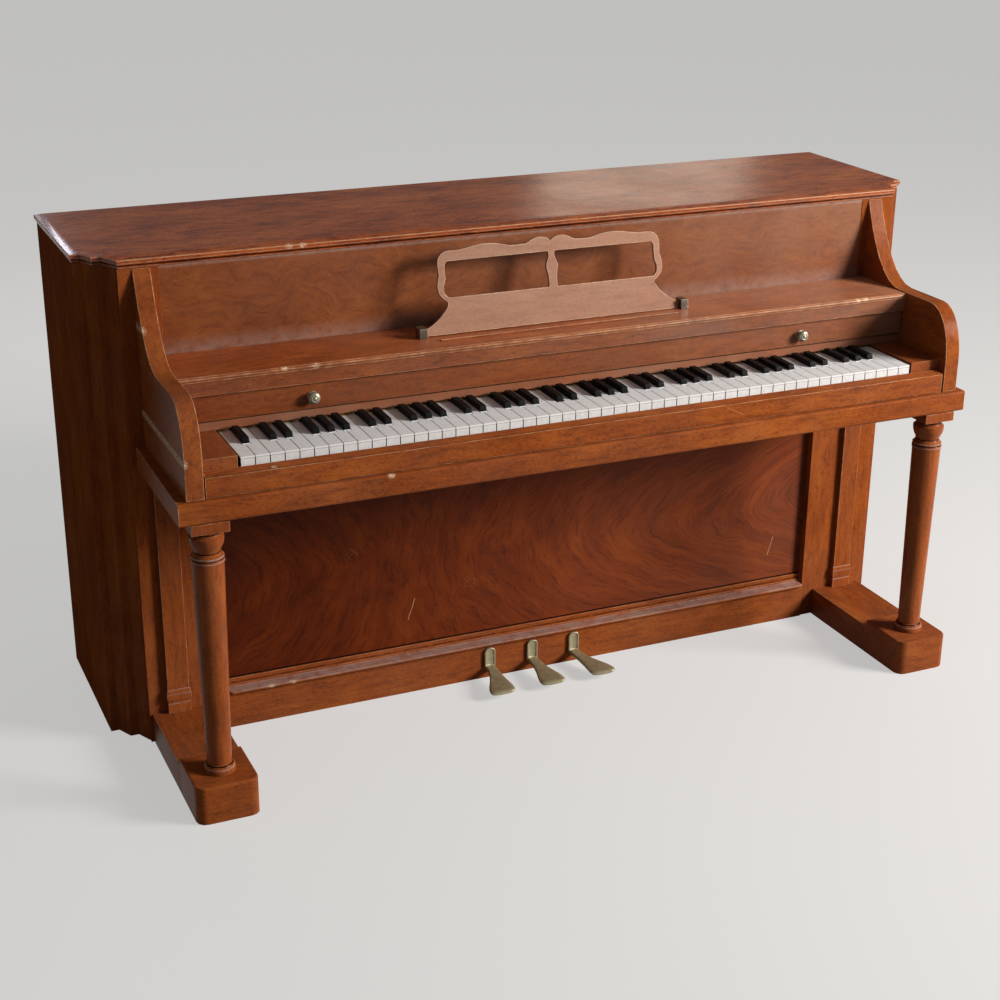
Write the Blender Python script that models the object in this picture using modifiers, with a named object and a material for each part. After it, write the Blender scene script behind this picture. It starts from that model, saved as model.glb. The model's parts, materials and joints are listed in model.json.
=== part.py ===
"""Spinet piano: case, keyboard, sliding fallboard, fretted music desk, pedals and the works inside.

Metres, +Z up, the pianist sits at -Y. Depths are first counted behind the white key fronts
and then moved so that the origin is under the middle of the whole piano.
"""
import math

import bpy
import bmesh
from mathutils import Matrix, Vector

# Clearances
GAP = 0.0003
RUNNING = 0.00025

# Keys
KEY_PITCH = 0.0235
KEY_GAP = 0.001
WHITE_COUNT = 52
MIDDLE_C_WHITE = 23
KEY_LENGTH = 0.360
HEAD_LENGTH = 0.0525
KEY_RISE = 0.0313
WHITE_HEIGHT = 0.0218
BLACK_SLOT = 0.0146
BLACK_WIDTH = 0.0134
BLACK_TOP_WIDTH = 0.0108
BLACK_RISE = 0.0092
BLACK_SHOULDER_DROP = 0.0053
BLACK_FRONT = 0.054
BLACK_SLOPE = 0.0042
BLACK_BACK = 0.1185
SHARP_SPREAD = 0.0012
BALANCE_Y = 0.245
BALANCE_WIDTH = 0.024

# Widths, from the keys outwards
CHEEK_PLAY = 0.004
CHEEK_WIDTH = 0.0582
CHEEK_REAR_WIDTH = 0.040
ARM_THICK = 0.029
KEYBED_REVEAL = 0.0148
STILE_REVEAL = 0.0092
STILE_LOW_WIDTH = 0.136
STILE_HIGH_WIDTH = 0.0665
CORNER_POST = 0.0265
STEP_COUNT = 2
STEP_WIDTH = 0.0142
STEP_SLANT = 0.0138
STEP_DEPTH = 0.029
SIDE_BOARD = 0.022

# Heights, from the floor and the keybed upwards
KEYBED_TOP = 0.5422
KEYBED_THICK = 0.0368
CHEEK_HEIGHT = 0.0564
SLIP_HEIGHT = 0.0351
SLIP_RISE = 0.0044
SHELF_RISE = 0.1498
SHELF_THICK = 0.022
FASCIA_HEIGHT = 0.0325
CASE_RISE = 0.1455

# Case depths
BACK_POST_DEPTH = 0.054
STILE_FACE = 0.250
STILE_BOARD = 0.020
SIDE_FRONT = 0.3145
SIDE_RAMP = 0.018
POST_DEPTH = 0.028

# Lid
LID_THICK = 0.018
LID_OVERHANG = 0.0045
LID_STEP_OVERHANG = 0.002
LID_BEVEL = 0.014
LID_BEVEL_DROP = 0.004
LID_BAND = 0.0062
LID_COVE = 0.0042
LID_COVE_SHAPE = ((0.0, 1.0), (0.35, 0.85), (0.75, 0.45), (0.92, 0.30), (1.0, 0.0))

# Hinge of the lid
HINGE_INSET = 0.083
HINGE_KNUCKLES = 14
HINGE_SIDES = 8
HINGE_RADIUS = 0.0032
HINGE_PIN = 0.0014
HINGE_PIN_PLAY = 0.00015
HINGE_LEAF = 0.0012
HINGE_LEAF_HEIGHT = 0.0135
HINGE_CLEAR = 0.0006
KNUCKLE_PLAY = 0.0002

# Keybed, slip and cheek blocks
KEYBED_FRONT = -0.0276
KEYBED_BEHIND_KEYS = 0.010
KEYBED_ROUND = 0.0045
SLIP_FRONT = -0.0178
SLIP_THICK = 0.016
SLIP_ROUND = 0.0015
SLIP_INSET = 0.0017
RUNNER_BACK = 0.330

# Key frame
FRONT_RAIL_Y = (0.020, 0.050)
FRONT_RAIL_HEIGHT = 0.0175
BACK_RAIL_WIDTH = 0.020
BACK_RAIL_INSET = 0.002
SLAT_FRONT = 0.025
SLAT_INSET = 0.010
SLAT_HEIGHT = 0.010
SLAT_WIDTH = 0.040

# Shelf, fallboard and nameboard
SHELF_FRONT = 0.110
FASCIA_FACE = 0.1125
FASCIA_THICK = 0.018
FALL_FACE = 0.120
FALL_LIP = 0.012
FALL_HEIGHT = 0.043
FALL_CLEAR = 0.001
FALL_BOARD_THICK = 0.008
FALL_BOARD_DROP = 0.0025
FALL_BACK = 0.322
NAMEBOARD_FACE = 0.124
NAMEBOARD_THICK = 0.010
KNOB_X = 0.4565
KNOB_HEIGHT = 0.020
LEDGE_INSET = 0.014
LEDGE_Y = 0.1516
LEDGE_THICK = 0.004
LEDGE_HEIGHT = 0.003

# Panels and bottom rail
PANEL_THICK = 0.014
UPPER_PANEL_FACE = 0.251
LOWER_PANEL_FACE = 0.2655
PANEL_CLEAR = 0.0037
RAIL_FACE = 0.247
RAIL_BACK = 0.270
RAIL_TOP = 0.0875
RAIL_REBATE = 0.012
RAIL_STEP = 0.259
RAIL_STEP_DEPTH = 0.003
RAIL_STEP_HEIGHT = 0.005
LIP_FRONT = 0.2385
LIP_BOTTOM = 0.0672
LIP_TOP = 0.0725
LIP_INSET = 0.0035
LIP_CORNER = 0.008
LIP_ROUND = 0.0012

# Arms
ARM_REST_RISE = 0.0018
ARM_REST_FRONT = 0.040
ARM_REST_BACK = 0.134
ARM_NOSE = -0.0195
ARM_NOSE_DROP = 0.096
ARM_STEPS = 8

# Legs, feet and pilasters
LEG_INSET = 0.018
LEG_Y = 0.0045
LEG_BLOCK = 0.0606
LEG_BLOCK_DROP = 0.0174
LEG_COLUMN_TOP = 0.0258
LEG_COLUMN_FOOT = 0.0204
TURN_STEPS = 16
FOOT_WIDTH = 0.105
RUNNER_TOP = 0.054
TOE_TOP = 0.0666
TOE_FRONT = -0.048
TOE_BACK = 0.0637
TOE_CORNER = 0.017
PILASTER_SHIFT = 0.00675
PILASTER_WIDTH = 0.0375
PILASTER_FACE = 0.2405

# Music desk
DESK_HALF = 0.237
DESK_PIVOT_Y = 0.182
DESK_PIVOT_RISE = 0.0075
DESK_LEAN_DEG = 12.3
DESK_THICK = 0.0065
DESK_PIN = 0.0013
DESK_PIN_PLAY = 0.00015
DESK_PIN_REACH = 0.008
BRACKET_CLEAR = 0.0016
BRACKET_WIDTH = 0.0139
BRACKET_HEIGHT = 0.018
BRACKET_FRONT = 0.0125
BRACKET_BACK = 0.0085

# Pedals and trapwork
PEDAL_CENTRE = -0.005
PEDAL_PITCH = 0.0862
PEDAL_SWEEP = (("left", -1, -0.0125), ("middle", 0, 0.002), ("right", 1, 0.0185))
PEDAL_PLATE_WIDTH = 0.0214
PEDAL_PLATE_FACE = 0.2415
PEDAL_PLATE_THICK = 0.0043
PEDAL_PLATE_BOTTOM = 0.0236
PEDAL_PLATE_HEIGHT = 0.0381
PEDAL_RIM = 0.0048
PEDAL_DISH = 0.0016
PEDAL_TIP_Y = 0.1485
PEDAL_AXIS_Y = 0.300
PEDAL_AXIS_Z = 0.036
PEDAL_PIN = 0.003
PEDAL_ARM_WIDTH = 0.012
PEDAL_ARM_BOTTOM = 0.030
PEDAL_ARM_TOP = 0.0434
PEDAL_ARM_BACK = 0.350
PEDAL_SLOT = (0.0245, 0.050)
HINGE_BLOCK = 0.010
HINGE_BLOCK_DEPTH = 0.024
HINGE_BLOCK_TOP = 0.046
TRAP_BEHIND_BED = 0.025
TRAP_PIVOT_X = 0.400
TRAP_WIDTH = 0.018
TRAP_HEIGHT = 0.018
TRAP_FORK = 0.012
TRAP_FORK_WIDTH = 0.030
TRAP_FORK_TOP = 0.066
TRAP_END = 0.012
TRAP_DOWEL_X = 0.300
TRAP_DOWEL_ABOVE = 0.0078
TRAP_DOWEL_RADIUS = 0.006
BOARD_TOP = 0.016
BOARD_END = 0.080

# Back frame, soundboard, plate and pin block
POST_WIDTH = 0.060
POST_COUNT = 5
BACK_BEAM = 0.085
SOUNDBOARD_BEHIND_PLATE = 0.037
SOUNDBOARD_THICK = 0.008
SOUNDBOARD_BOTTOM = 0.020
RIB_COUNT = 7
RIB_WIDTH = 0.022
RIB_ROOM = 0.017
RIB_INSET = 0.160
RIB_MARGIN = 0.120
RIB_TILT_DEG = 24
BRIDGE_HEIGHT = 0.019
BRIDGE_WIDTH = 0.028
TREBLE_BRIDGE = ((-0.34, 0.19), (0.62, 0.53))
TREBLE_BRIDGE_SWAY = 0.050
BASS_BRIDGE = (-0.50, 0.15)
BASS_BRIDGE_LENGTH = 0.320
BASS_BRIDGE_TILT_DEG = 8
PLATE_BEHIND_STRINGS = 0.008
PLATE_THICK = 0.012
PLATE_INSET = 0.0155
PLATE_BOTTOM = 0.030
PLATE_DROP = 0.0225
PLATE_WAIST = 0.045
PLATE_WAIST_DROP = 0.100
PLATE_SHOULDER = 0.300
PLATE_SILL = 0.075
PLATE_HEADER = 0.015
PLATE_BASS_MARGIN = 0.055
PLATE_TREBLE_MARGIN = 0.090
PLATE_STRUT = 0.030
PLATE_WINDOWS = 4
PLATE_TOE_HEIGHT = 0.030
PIN_BLOCK_DROP = 0.0375
PIN_BLOCK_HEIGHT = 0.100

# Action
NOTE_COUNT = 88
DAMPER_COUNT = 66
ACTION_INSET = 0.011
ACTION_CLEAR = 0.009
ACTION_END_THICK = 0.012
ACTION_FOOT = 0.034
ACTION_CREST = 0.075
HAMMER_BEHIND_BED = 0.062
HAMMER_RISE = 0.0578
HAMMER_ROD = 0.0035
HAMMER_BAR = 0.004
HAMMER_WIDTH = 0.0095
HAMMER_SHANK = 0.003
HAMMER_HEAD = ((0.003, 0.086), (0.024, 0.091), (0.024, 0.101), (-0.003, 0.107))
DAMPER_BEHIND_HAMMER = 0.030
DAMPER_RISE = 0.0328
DAMPER_ROD = 0.0025
DAMPER_BAR = 0.003
DAMPER_WIDTH = 0.0085
DAMPER_SHANK = 0.002
DAMPER_FELT = (0.058, 0.060, 0.082, 0.080)
DAMPER_CLEAR = 0.0012
STRINGS_BEHIND_DAMPER = 0.038

ROD_SIDES = 12

# Places that follow from the sizes above
KEYS_HALF = WHITE_COUNT * KEY_PITCH / 2
CHEEK_INNER = KEYS_HALF + CHEEK_PLAY
CHEEK_OUTER = CHEEK_INNER + CHEEK_WIDTH
ARM_INNER = CHEEK_OUTER + GAP
KEYBED_HALF = ARM_INNER + ARM_THICK + KEYBED_REVEAL
STILE_OUTER = KEYBED_HALF + STILE_REVEAL
STILE_INNER_LOW = STILE_OUTER - STILE_LOW_WIDTH
STILE_INNER_HIGH = STILE_OUTER - STILE_HIGH_WIDTH
CASE_HALF = STILE_OUTER + GAP + STEP_COUNT * (STEP_WIDTH + STEP_SLANT)
INNER_HALF = CASE_HALF - SIDE_BOARD - GAP
HINGE_HALF = CASE_HALF - HINGE_INSET
LEG_X = KEYBED_HALF - LEG_INSET - LEG_BLOCK / 2
FOOT_INNER = LEG_X - FOOT_WIDTH / 2
FOOT_OUTER = LEG_X + FOOT_WIDTH / 2
BRACKET_INNER = DESK_HALF + BRACKET_CLEAR
ACTION_HALF = KEYS_HALF - ACTION_INSET
ACTION_END = KEYS_HALF + ACTION_CLEAR

KEYBED_BACK = KEY_LENGTH + KEYBED_BEHIND_KEYS
TRAP_Y = KEYBED_BACK + TRAP_BEHIND_BED
HAMMER_Y = KEYBED_BACK + HAMMER_BEHIND_BED
DAMPER_Y = HAMMER_Y + DAMPER_BEHIND_HAMMER
STRING_PLANE = DAMPER_Y + STRINGS_BEHIND_DAMPER
PLATE_FRONT = STRING_PLANE + PLATE_BEHIND_STRINGS
SOUNDBOARD_FRONT = PLATE_FRONT + SOUNDBOARD_BEHIND_PLATE
BRIDGE_FRONT = SOUNDBOARD_FRONT - BRIDGE_HEIGHT
POST_FRONT = SOUNDBOARD_FRONT + SOUNDBOARD_THICK + RIB_ROOM
CASE_BACK = POST_FRONT + BACK_POST_DEPTH

KEYBED_BOTTOM = KEYBED_TOP - KEYBED_THICK
KEY_BOTTOM = KEYBED_TOP + KEY_RISE
WHITE_TOP = KEY_BOTTOM + WHITE_HEIGHT
BLACK_TOP = WHITE_TOP + BLACK_RISE
BLACK_SHOULDER = WHITE_TOP - BLACK_SHOULDER_DROP
CHEEK_TOP = KEYBED_TOP + CHEEK_HEIGHT
SHELF_TOP = KEYBED_TOP + SHELF_RISE
FASCIA_BOTTOM = SHELF_TOP - FASCIA_HEIGHT
FALL_TOP = FASCIA_BOTTOM - FALL_CLEAR
FALL_BOTTOM = FALL_TOP - FALL_HEIGHT
FALL_BOARD_TOP = FALL_TOP - FALL_BOARD_DROP
FALL_BOARD_BOTTOM = FALL_BOARD_TOP - FALL_BOARD_THICK
CASE_TOP = SHELF_TOP + CASE_RISE
LID_BOTTOM = CASE_TOP + GAP
LID_TOP = LID_BOTTOM + LID_THICK
LEG_BLOCK_BOTTOM = KEYBED_BOTTOM - LEG_BLOCK_DROP
TRAP_BOTTOM = PEDAL_ARM_TOP + 2 * GAP
TRAP_TOP = TRAP_BOTTOM + TRAP_HEIGHT
PIN_BLOCK_TOP = CASE_TOP - PIN_BLOCK_DROP
PIN_BLOCK_BOTTOM = PIN_BLOCK_TOP - PIN_BLOCK_HEIGHT
HAMMER_Z = KEYBED_TOP + HAMMER_RISE
DAMPER_Z = KEYBED_TOP + DAMPER_RISE

HINGE_AXIS_Y = CASE_BACK + GAP + HINGE_RADIUS
HINGE_AXIS_Z = CASE_TOP
Y_SHIFT = -(TOE_FRONT + HINGE_AXIS_Y + HINGE_RADIUS) / 2

# Finishes: colour, roughness, metallic
CASE_WOOD = ((0.30, 0.09, 0.03), 0.35, 0.0)
FRAME_WOOD = ((0.45, 0.30, 0.16), 0.60, 0.0)
SPRUCE = ((0.62, 0.46, 0.26), 0.50, 0.0)
DESK_WOOD = ((0.42, 0.22, 0.13), 0.40, 0.0)
BRASS = ((0.60, 0.50, 0.25), 0.30, 1.0)
IRON = ((0.45, 0.33, 0.14), 0.50, 0.8)
IVORY = ((0.80, 0.80, 0.78), 0.20, 0.0)
EBONY = ((0.02, 0.02, 0.02), 0.30, 0.0)
FELT = ((0.75, 0.72, 0.62), 0.90, 0.0)
CUTTER = ((0.5, 0.5, 0.5), 0.5, 0.0)


def clear_scene():
    for obj in list(bpy.data.objects):
        bpy.data.objects.remove(obj, do_unlink=True)


def new_collection(name):
    collection = bpy.data.collections.new(name)
    bpy.context.scene.collection.children.link(collection)
    return collection


clear_scene()
PARTS = new_collection("Spinet piano")
TOOLS = new_collection("Cutters")


def material(name, finish):
    colour, roughness, metallic = finish
    made = bpy.data.materials.new(name)
    made.use_nodes = True
    shader = made.node_tree.nodes["Principled BSDF"]
    shader.inputs["Base Color"].default_value = (*colour, 1.0)
    shader.inputs["Roughness"].default_value = roughness
    shader.inputs["Metallic"].default_value = metallic
    return made


def shifted(point):
    """Moves a point from depths behind the key fronts to the part's own frame."""
    return Vector((point[0], point[1] + Y_SHIFT, point[2]))


def add_part(name, mesh, finish, origin=(0.0, 0.0, 0.0), collection=PARTS):
    """Puts a mesh, drawn in key-front depths, into the scene with its origin at a point."""
    place = shifted(origin)
    mesh.transform(Matrix.Translation(Vector((0.0, Y_SHIFT, 0.0)) - place))
    mesh.name = name
    mesh.materials.clear()
    mesh.materials.append(material(name, finish))
    obj = bpy.data.objects.new(name, mesh)
    obj.location = place
    collection.objects.link(obj)
    return obj


def mirrored(mesh):
    """A copy of a mesh mirrored in the middle plane, with its faces turned out again."""
    copy = mesh.copy()
    copy.transform(Matrix.Scale(-1.0, 4, Vector((1.0, 0.0, 0.0))))
    copy.flip_normals()
    return copy


def add_pair(name, mesh, finish, origin=(0.0, 0.0, 0.0)):
    """The right piece as drawn and the left one as its mirror image."""
    left = mirrored(mesh)
    right = add_part(name + "_right", mesh, finish, origin)
    left = add_part(name + "_left", left, finish, (-origin[0], origin[1], origin[2]))
    return left, right


def mesh_from(bm, name):
    mesh = bpy.data.meshes.new(name)
    bm.to_mesh(mesh)
    bm.free()
    return mesh


def box(low, high):
    bm = bmesh.new()
    bmesh.ops.create_cube(bm, size=1.0)
    size = [b - a for a, b in zip(low, high)]
    centre = [(a + b) / 2 for a, b in zip(low, high)]
    bmesh.ops.scale(bm, vec=size, verts=bm.verts)
    bmesh.ops.translate(bm, vec=centre, verts=bm.verts)
    return mesh_from(bm, "box")


def rod(start, end, radius, sides=ROD_SIDES):
    """A straight round bar between two points."""
    start = Vector(start)
    end = Vector(end)
    bm = bmesh.new()
    bmesh.ops.create_cone(bm, cap_ends=True, segments=sides, radius1=radius, radius2=radius,
                          depth=(end - start).length)
    turn = (end - start).to_track_quat("Z", "Y").to_matrix().to_4x4()
    bmesh.ops.transform(bm, matrix=Matrix.Translation((start + end) / 2) @ turn, verts=bm.verts)
    return mesh_from(bm, "rod")


AXES = {
    "X": Matrix(((0, 0, 1, 0), (1, 0, 0, 0), (0, 1, 0, 0), (0, 0, 0, 1))),
    "Y": Matrix(((1, 0, 0, 0), (0, 0, -1, 0), (0, 1, 0, 0), (0, 0, 0, 1))),
    "Z": Matrix.Identity(4),
}
DIRECTIONS = {"X": Vector((1, 0, 0)), "Y": Vector((0, 1, 0)), "Z": Vector((0, 0, 1))}


def outline(loops, along, low, high):
    """A board from flat outlines: (y, z) pairs along X, (x, z) along Y or (x, y) along Z."""
    curve = bpy.data.curves.new("outline", "CURVE")
    curve.dimensions = "2D"
    curve.fill_mode = "BOTH"
    curve.extrude = (high - low) / 2
    for loop in loops:
        spline = curve.splines.new("POLY")
        spline.points.add(len(loop) - 1)
        spline.use_cyclic_u = True
        for point, (u, v) in zip(spline.points, loop):
            point.co = (u, v, 0.0, 1.0)
    holder = bpy.data.objects.new("outline", curve)
    bpy.context.scene.collection.objects.link(holder)
    depsgraph = bpy.context.evaluated_depsgraph_get()
    mesh = bpy.data.meshes.new_from_object(holder.evaluated_get(depsgraph))
    bpy.data.objects.remove(holder)
    bpy.data.curves.remove(curve)
    bm = bmesh.new()
    bm.from_mesh(mesh)
    bmesh.ops.remove_doubles(bm, verts=bm.verts, dist=1e-6)
    bmesh.ops.dissolve_limit(bm, angle_limit=0.001, verts=bm.verts, edges=bm.edges)
    bmesh.ops.recalc_face_normals(bm, faces=bm.faces)
    mesh = mesh_from(bm, "outline")
    middle = DIRECTIONS[along] * (low + high) / 2
    mesh.transform(Matrix.Translation(middle) @ AXES[along])
    return mesh


def loft(rings):
    """A closed skin over rings of equal point counts, capped at both ends."""
    count = len(rings[0])
    points = [tuple(point) for ring in rings for point in ring]
    faces = []
    for base in range(0, (len(rings) - 1) * count, count):
        for i in range(count):
            j = (i + 1) % count
            faces.append((base + i, base + j, base + count + j, base + count + i))
    faces.append(tuple(reversed(range(count))))
    faces.append(tuple(range((len(rings) - 1) * count, len(rings) * count)))
    mesh = bpy.data.meshes.new("loft")
    mesh.from_pydata(points, [], faces)
    bm = bmesh.new()
    bm.from_mesh(mesh)
    bmesh.ops.recalc_face_normals(bm, faces=bm.faces)
    return mesh_from(bm, "loft")


def combine(meshes):
    """Several separate meshes as one mesh."""
    bm = bmesh.new()
    for mesh in meshes:
        bm.from_mesh(mesh)
    return mesh_from(bm, "combined")


def boolean(obj, meshes, operation, label):
    """Joins or cuts a part with hidden tool shapes."""
    tool = add_part(obj.name + "_" + label, combine(meshes), CUTTER, collection=TOOLS)
    tool.hide_render = True
    tool.display_type = "WIRE"
    modifier = obj.modifiers.new(label, "BOOLEAN")
    modifier.operation = operation
    modifier.solver = "EXACT"
    modifier.object = tool


def join(obj, meshes, label):
    boolean(obj, meshes, "UNION", label)


def cut(obj, meshes, label):
    boolean(obj, meshes, "DIFFERENCE", label)


def turned_part(name, profile, finish, origin, steps, rotation=(0.0, 0.0, 0.0)):
    """A turned piece: (radius, height) pairs from the top down, spun about its own Z axis."""
    mesh = bpy.data.meshes.new(name)
    edges = [(i, i + 1) for i in range(len(profile) - 1)]
    mesh.from_pydata([(r, 0.0, z) for r, z in profile], edges, [])
    mesh.materials.append(material(name, finish))
    obj = bpy.data.objects.new(name, mesh)
    obj.location = shifted(origin)
    obj.rotation_euler = rotation
    PARTS.objects.link(obj)
    screw = obj.modifiers.new("Turn", "SCREW")
    screw.axis = "Z"
    screw.steps = steps
    screw.render_steps = steps
    screw.use_merge_vertices = True
    screw.merge_threshold = 0.00002
    screw.use_smooth_shade = True
    return obj


def inset(loop, distances):
    """Moves each edge of a plan outline inwards by its own distance, meeting at new corners."""
    lines = []
    for i, distance in enumerate(distances):
        a = Vector(loop[i])
        b = Vector(loop[(i + 1) % len(loop)])
        along = (b - a).normalized()
        lines.append((a + Vector((-along.y, along.x)) * distance, along))
    corners = []
    for i in range(len(loop)):
        p, r = lines[i - 1]
        q, s = lines[i]
        t = ((q.x - p.x) * s.y - (q.y - p.y) * s.x) / (r.x * s.y - r.y * s.x)
        corners.append(p + r * t)
    return corners


def arc(centre, radius, start, end, steps):
    """Points on a circle between two angles in degrees, both ends kept."""
    angles = [math.radians(start + (end - start) * k / steps) for k in range(steps + 1)]
    return [(centre[0] + radius * math.cos(a), centre[1] + radius * math.sin(a)) for a in angles]


def bend(p0, p1, p2, p3, steps):
    """Points on a cubic curve from p0 to p3 with the handles p1 and p2, both ends kept."""
    points = []
    for k in range(steps + 1):
        t = k / steps
        weights = ((1 - t) ** 3, 3 * t * (1 - t) ** 2, 3 * t * t * (1 - t), t ** 3)
        points.append(tuple(sum(w * p[i] for w, p in zip(weights, (p0, p1, p2, p3))) for i in (0, 1)))
    return points


def smooth_run(points, samples):
    """An open curve through all the points, each stretch cut into equal steps (Catmull-Rom)."""
    padded = [Vector(p) for p in (points[0], *points, points[-1])]
    result = []
    for p0, p1, p2, p3 in zip(padded, padded[1:], padded[2:], padded[3:]):
        for step in range(samples):
            t = step / samples
            result.append(0.5 * (2 * p1 + (p2 - p0) * t + (2 * p0 - 5 * p1 + 4 * p2 - p3) * t * t
                                 + (3 * p1 - p0 - 3 * p2 + p3) * t ** 3))
    result.append(padded[-1])
    return [(p.x, p.y) for p in result]


def step_corner(start_x, start_y):
    """The stepped front corner in plan, from the side board inwards."""
    x = start_x
    y = start_y
    points = [(x, y)]
    for _ in range(STEP_COUNT):
        x -= STEP_WIDTH
        points.append((x, y))
        x -= STEP_SLANT
        y -= STEP_DEPTH
        points.append((x, y))
    return points


def case_sides():
    corner = step_corner(CASE_HALF, SIDE_FRONT)
    post_edge = STILE_OUTER + GAP
    post_inner = STILE_OUTER - CORNER_POST
    board = CASE_HALF - SIDE_BOARD
    stile_back = STILE_FACE + STILE_BOARD + GAP
    plan = [(board, CASE_BACK), (board, SIDE_FRONT + SIDE_RAMP), (post_inner, stile_back + POST_DEPTH),
            (post_inner, stile_back), (post_edge, stile_back)]
    plan += [(max(x, post_edge), y) for x, y in reversed(corner)]
    plan += [(CASE_HALF, CASE_BACK)]
    add_pair("case_side", outline([plan], "Z", 0.0, CASE_TOP), CASE_WOOD)


def front_stiles():
    notch = KEYBED_BOTTOM - GAP
    top = CASE_TOP - GAP
    shape = [(STILE_OUTER, 0.0), (STILE_OUTER, top), (STILE_INNER_HIGH, top), (STILE_INNER_HIGH, notch),
             (STILE_INNER_LOW, notch), (STILE_INNER_LOW, 0.0)]
    add_pair("front_stile", outline([shape], "Y", STILE_FACE, STILE_FACE + STILE_BOARD), CASE_WOOD)


def lid_outline():
    """Plan of the lid: the stepped case outline with the overhang, mirrored."""
    corner = step_corner(CASE_HALF + LID_OVERHANG, SIDE_FRONT - LID_STEP_OVERHANG)[:-1]
    x, y = corner[-1]
    front = STILE_FACE - LID_OVERHANG
    nose = (x - (y - front) * STEP_SLANT / STEP_DEPTH, front)
    right = [nose] + list(reversed(corner)) + [(CASE_HALF + LID_OVERHANG, CASE_BACK)]
    return right + [(-x, y) for x, y in reversed(right)]


def lid():
    """A cove under a plain band, and one wide bevel round the whole top."""
    loop = lid_outline()
    back_edge = len(loop) // 2 - 1
    cove_height = LID_THICK - LID_BEVEL_DROP - LID_BAND
    rings = []
    for rise, share in LID_COVE_SHAPE:
        distances = [LID_COVE * share] * len(loop)
        distances[back_edge] = 0.0
        rings.append((LID_BOTTOM + cove_height * rise, inset(loop, distances)))
    rings.append((LID_TOP - LID_BEVEL_DROP, inset(loop, [0.0] * len(loop))))
    rings.append((LID_TOP, inset(loop, [LID_BEVEL] * len(loop))))
    skin = loft([[(p[0], p[1], z) for p in ring] for z, ring in rings])
    add_part("lid", skin, CASE_WOOD, (0.0, HINGE_AXIS_Y, HINGE_AXIS_Z))


def lid_hinge():
    """A long hinge behind the lid: every second knuckle belongs to each leaf."""
    pitch = 2 * HINGE_HALF / HINGE_KNUCKLES
    axis = (HINGE_AXIS_Y, HINGE_AXIS_Z)
    face = CASE_BACK + GAP
    near = HINGE_RADIUS + HINGE_CLEAR
    for name, parity, side in (("lid_hinge_case_leaf", 0, -1), ("lid_hinge_lid_leaf", 1, 1)):
        low, high = sorted((HINGE_AXIS_Z + side * near, HINGE_AXIS_Z + side * HINGE_LEAF_HEIGHT))
        plate = box((-HINGE_HALF, face, low), (HINGE_HALF, face + HINGE_LEAF, high))
        obj = add_part(name, plate, BRASS, (0.0, *axis))
        low, high = sorted((HINGE_AXIS_Z, HINGE_AXIS_Z + side * (near + HINGE_LEAF)))
        webs = []
        knuckles = []
        for i in range(parity, HINGE_KNUCKLES, 2):
            start = -HINGE_HALF + i * pitch + KNUCKLE_PLAY
            end = start + pitch - 2 * KNUCKLE_PLAY
            webs.append(box((start, face, low), (end, face + HINGE_LEAF, high)))
            knuckles.append(rod((start, *axis), (end, *axis), HINGE_RADIUS, HINGE_SIDES))
        join(obj, webs, "webs")
        join(obj, knuckles, "knuckles")
        reach = HINGE_HALF - HINGE_LEAF
        if side < 0:
            join(obj, [rod((-reach, *axis), (reach, *axis), HINGE_PIN, HINGE_SIDES)], "pin")
        else:
            radius = HINGE_PIN + HINGE_PIN_PLAY
            reach = HINGE_HALF + HINGE_LEAF
            cut(obj, [rod((-reach, *axis), (reach, *axis), radius, HINGE_SIDES)], "bore")


def keybed():
    """The front board has rounded edges; a narrower rear part passes between the stiles."""
    r = KEYBED_ROUND
    back = STILE_FACE - GAP
    profile = [(back, KEYBED_BOTTOM)]
    profile += arc((KEYBED_FRONT + r, KEYBED_BOTTOM + r), r, 270, 180, 4)
    profile += arc((KEYBED_FRONT + r, KEYBED_TOP - r), r, 180, 90, 4)
    profile += [(back, KEYBED_TOP)]
    obj = add_part("keybed", outline([profile], "X", -KEYBED_HALF, KEYBED_HALF), CASE_WOOD)
    half = STILE_INNER_HIGH - GAP
    lap = back - STILE_BOARD
    join(obj, [box((-half, lap, KEYBED_BOTTOM), (half, KEYBED_BACK, KEYBED_TOP))], "rear")


def key_slip():
    """A strip before the keys, whose top rises a little towards them."""
    base = KEYBED_TOP + GAP
    top = KEYBED_TOP + SLIP_HEIGHT
    back = SLIP_FRONT + SLIP_THICK
    r = SLIP_ROUND
    profile = [(SLIP_FRONT, base), (SLIP_FRONT, top - r), (SLIP_FRONT + r, top), (back - r, top + SLIP_RISE),
               (back, top + SLIP_RISE - r), (back, base)]
    half = CHEEK_OUTER - SLIP_INSET
    add_part("key_slip", outline([profile], "X", -half, half), CASE_WOOD)


def cheek_blocks():
    """High beside the keys, lower behind the nameboard, where the fallboard runs over them."""
    base = KEYBED_TOP + GAP
    back = STILE_FACE - GAP
    step = NAMEBOARD_FACE + NAMEBOARD_THICK + GAP
    runner = FALL_BOARD_BOTTOM - GAP
    side = [(0.0, base), (back, base), (back, runner), (step, runner), (step, CHEEK_TOP), (0.0, CHEEK_TOP)]
    left, right = add_pair("cheek_block", outline([side], "X", CHEEK_INNER, CHEEK_OUTER), CASE_WOOD)
    rear = box((CHEEK_INNER, back - STILE_BOARD, base),
               (CHEEK_INNER + CHEEK_REAR_WIDTH, RUNNER_BACK, runner))
    join(left, [mirrored(rear)], "rear")
    join(right, [rear], "rear")


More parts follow.
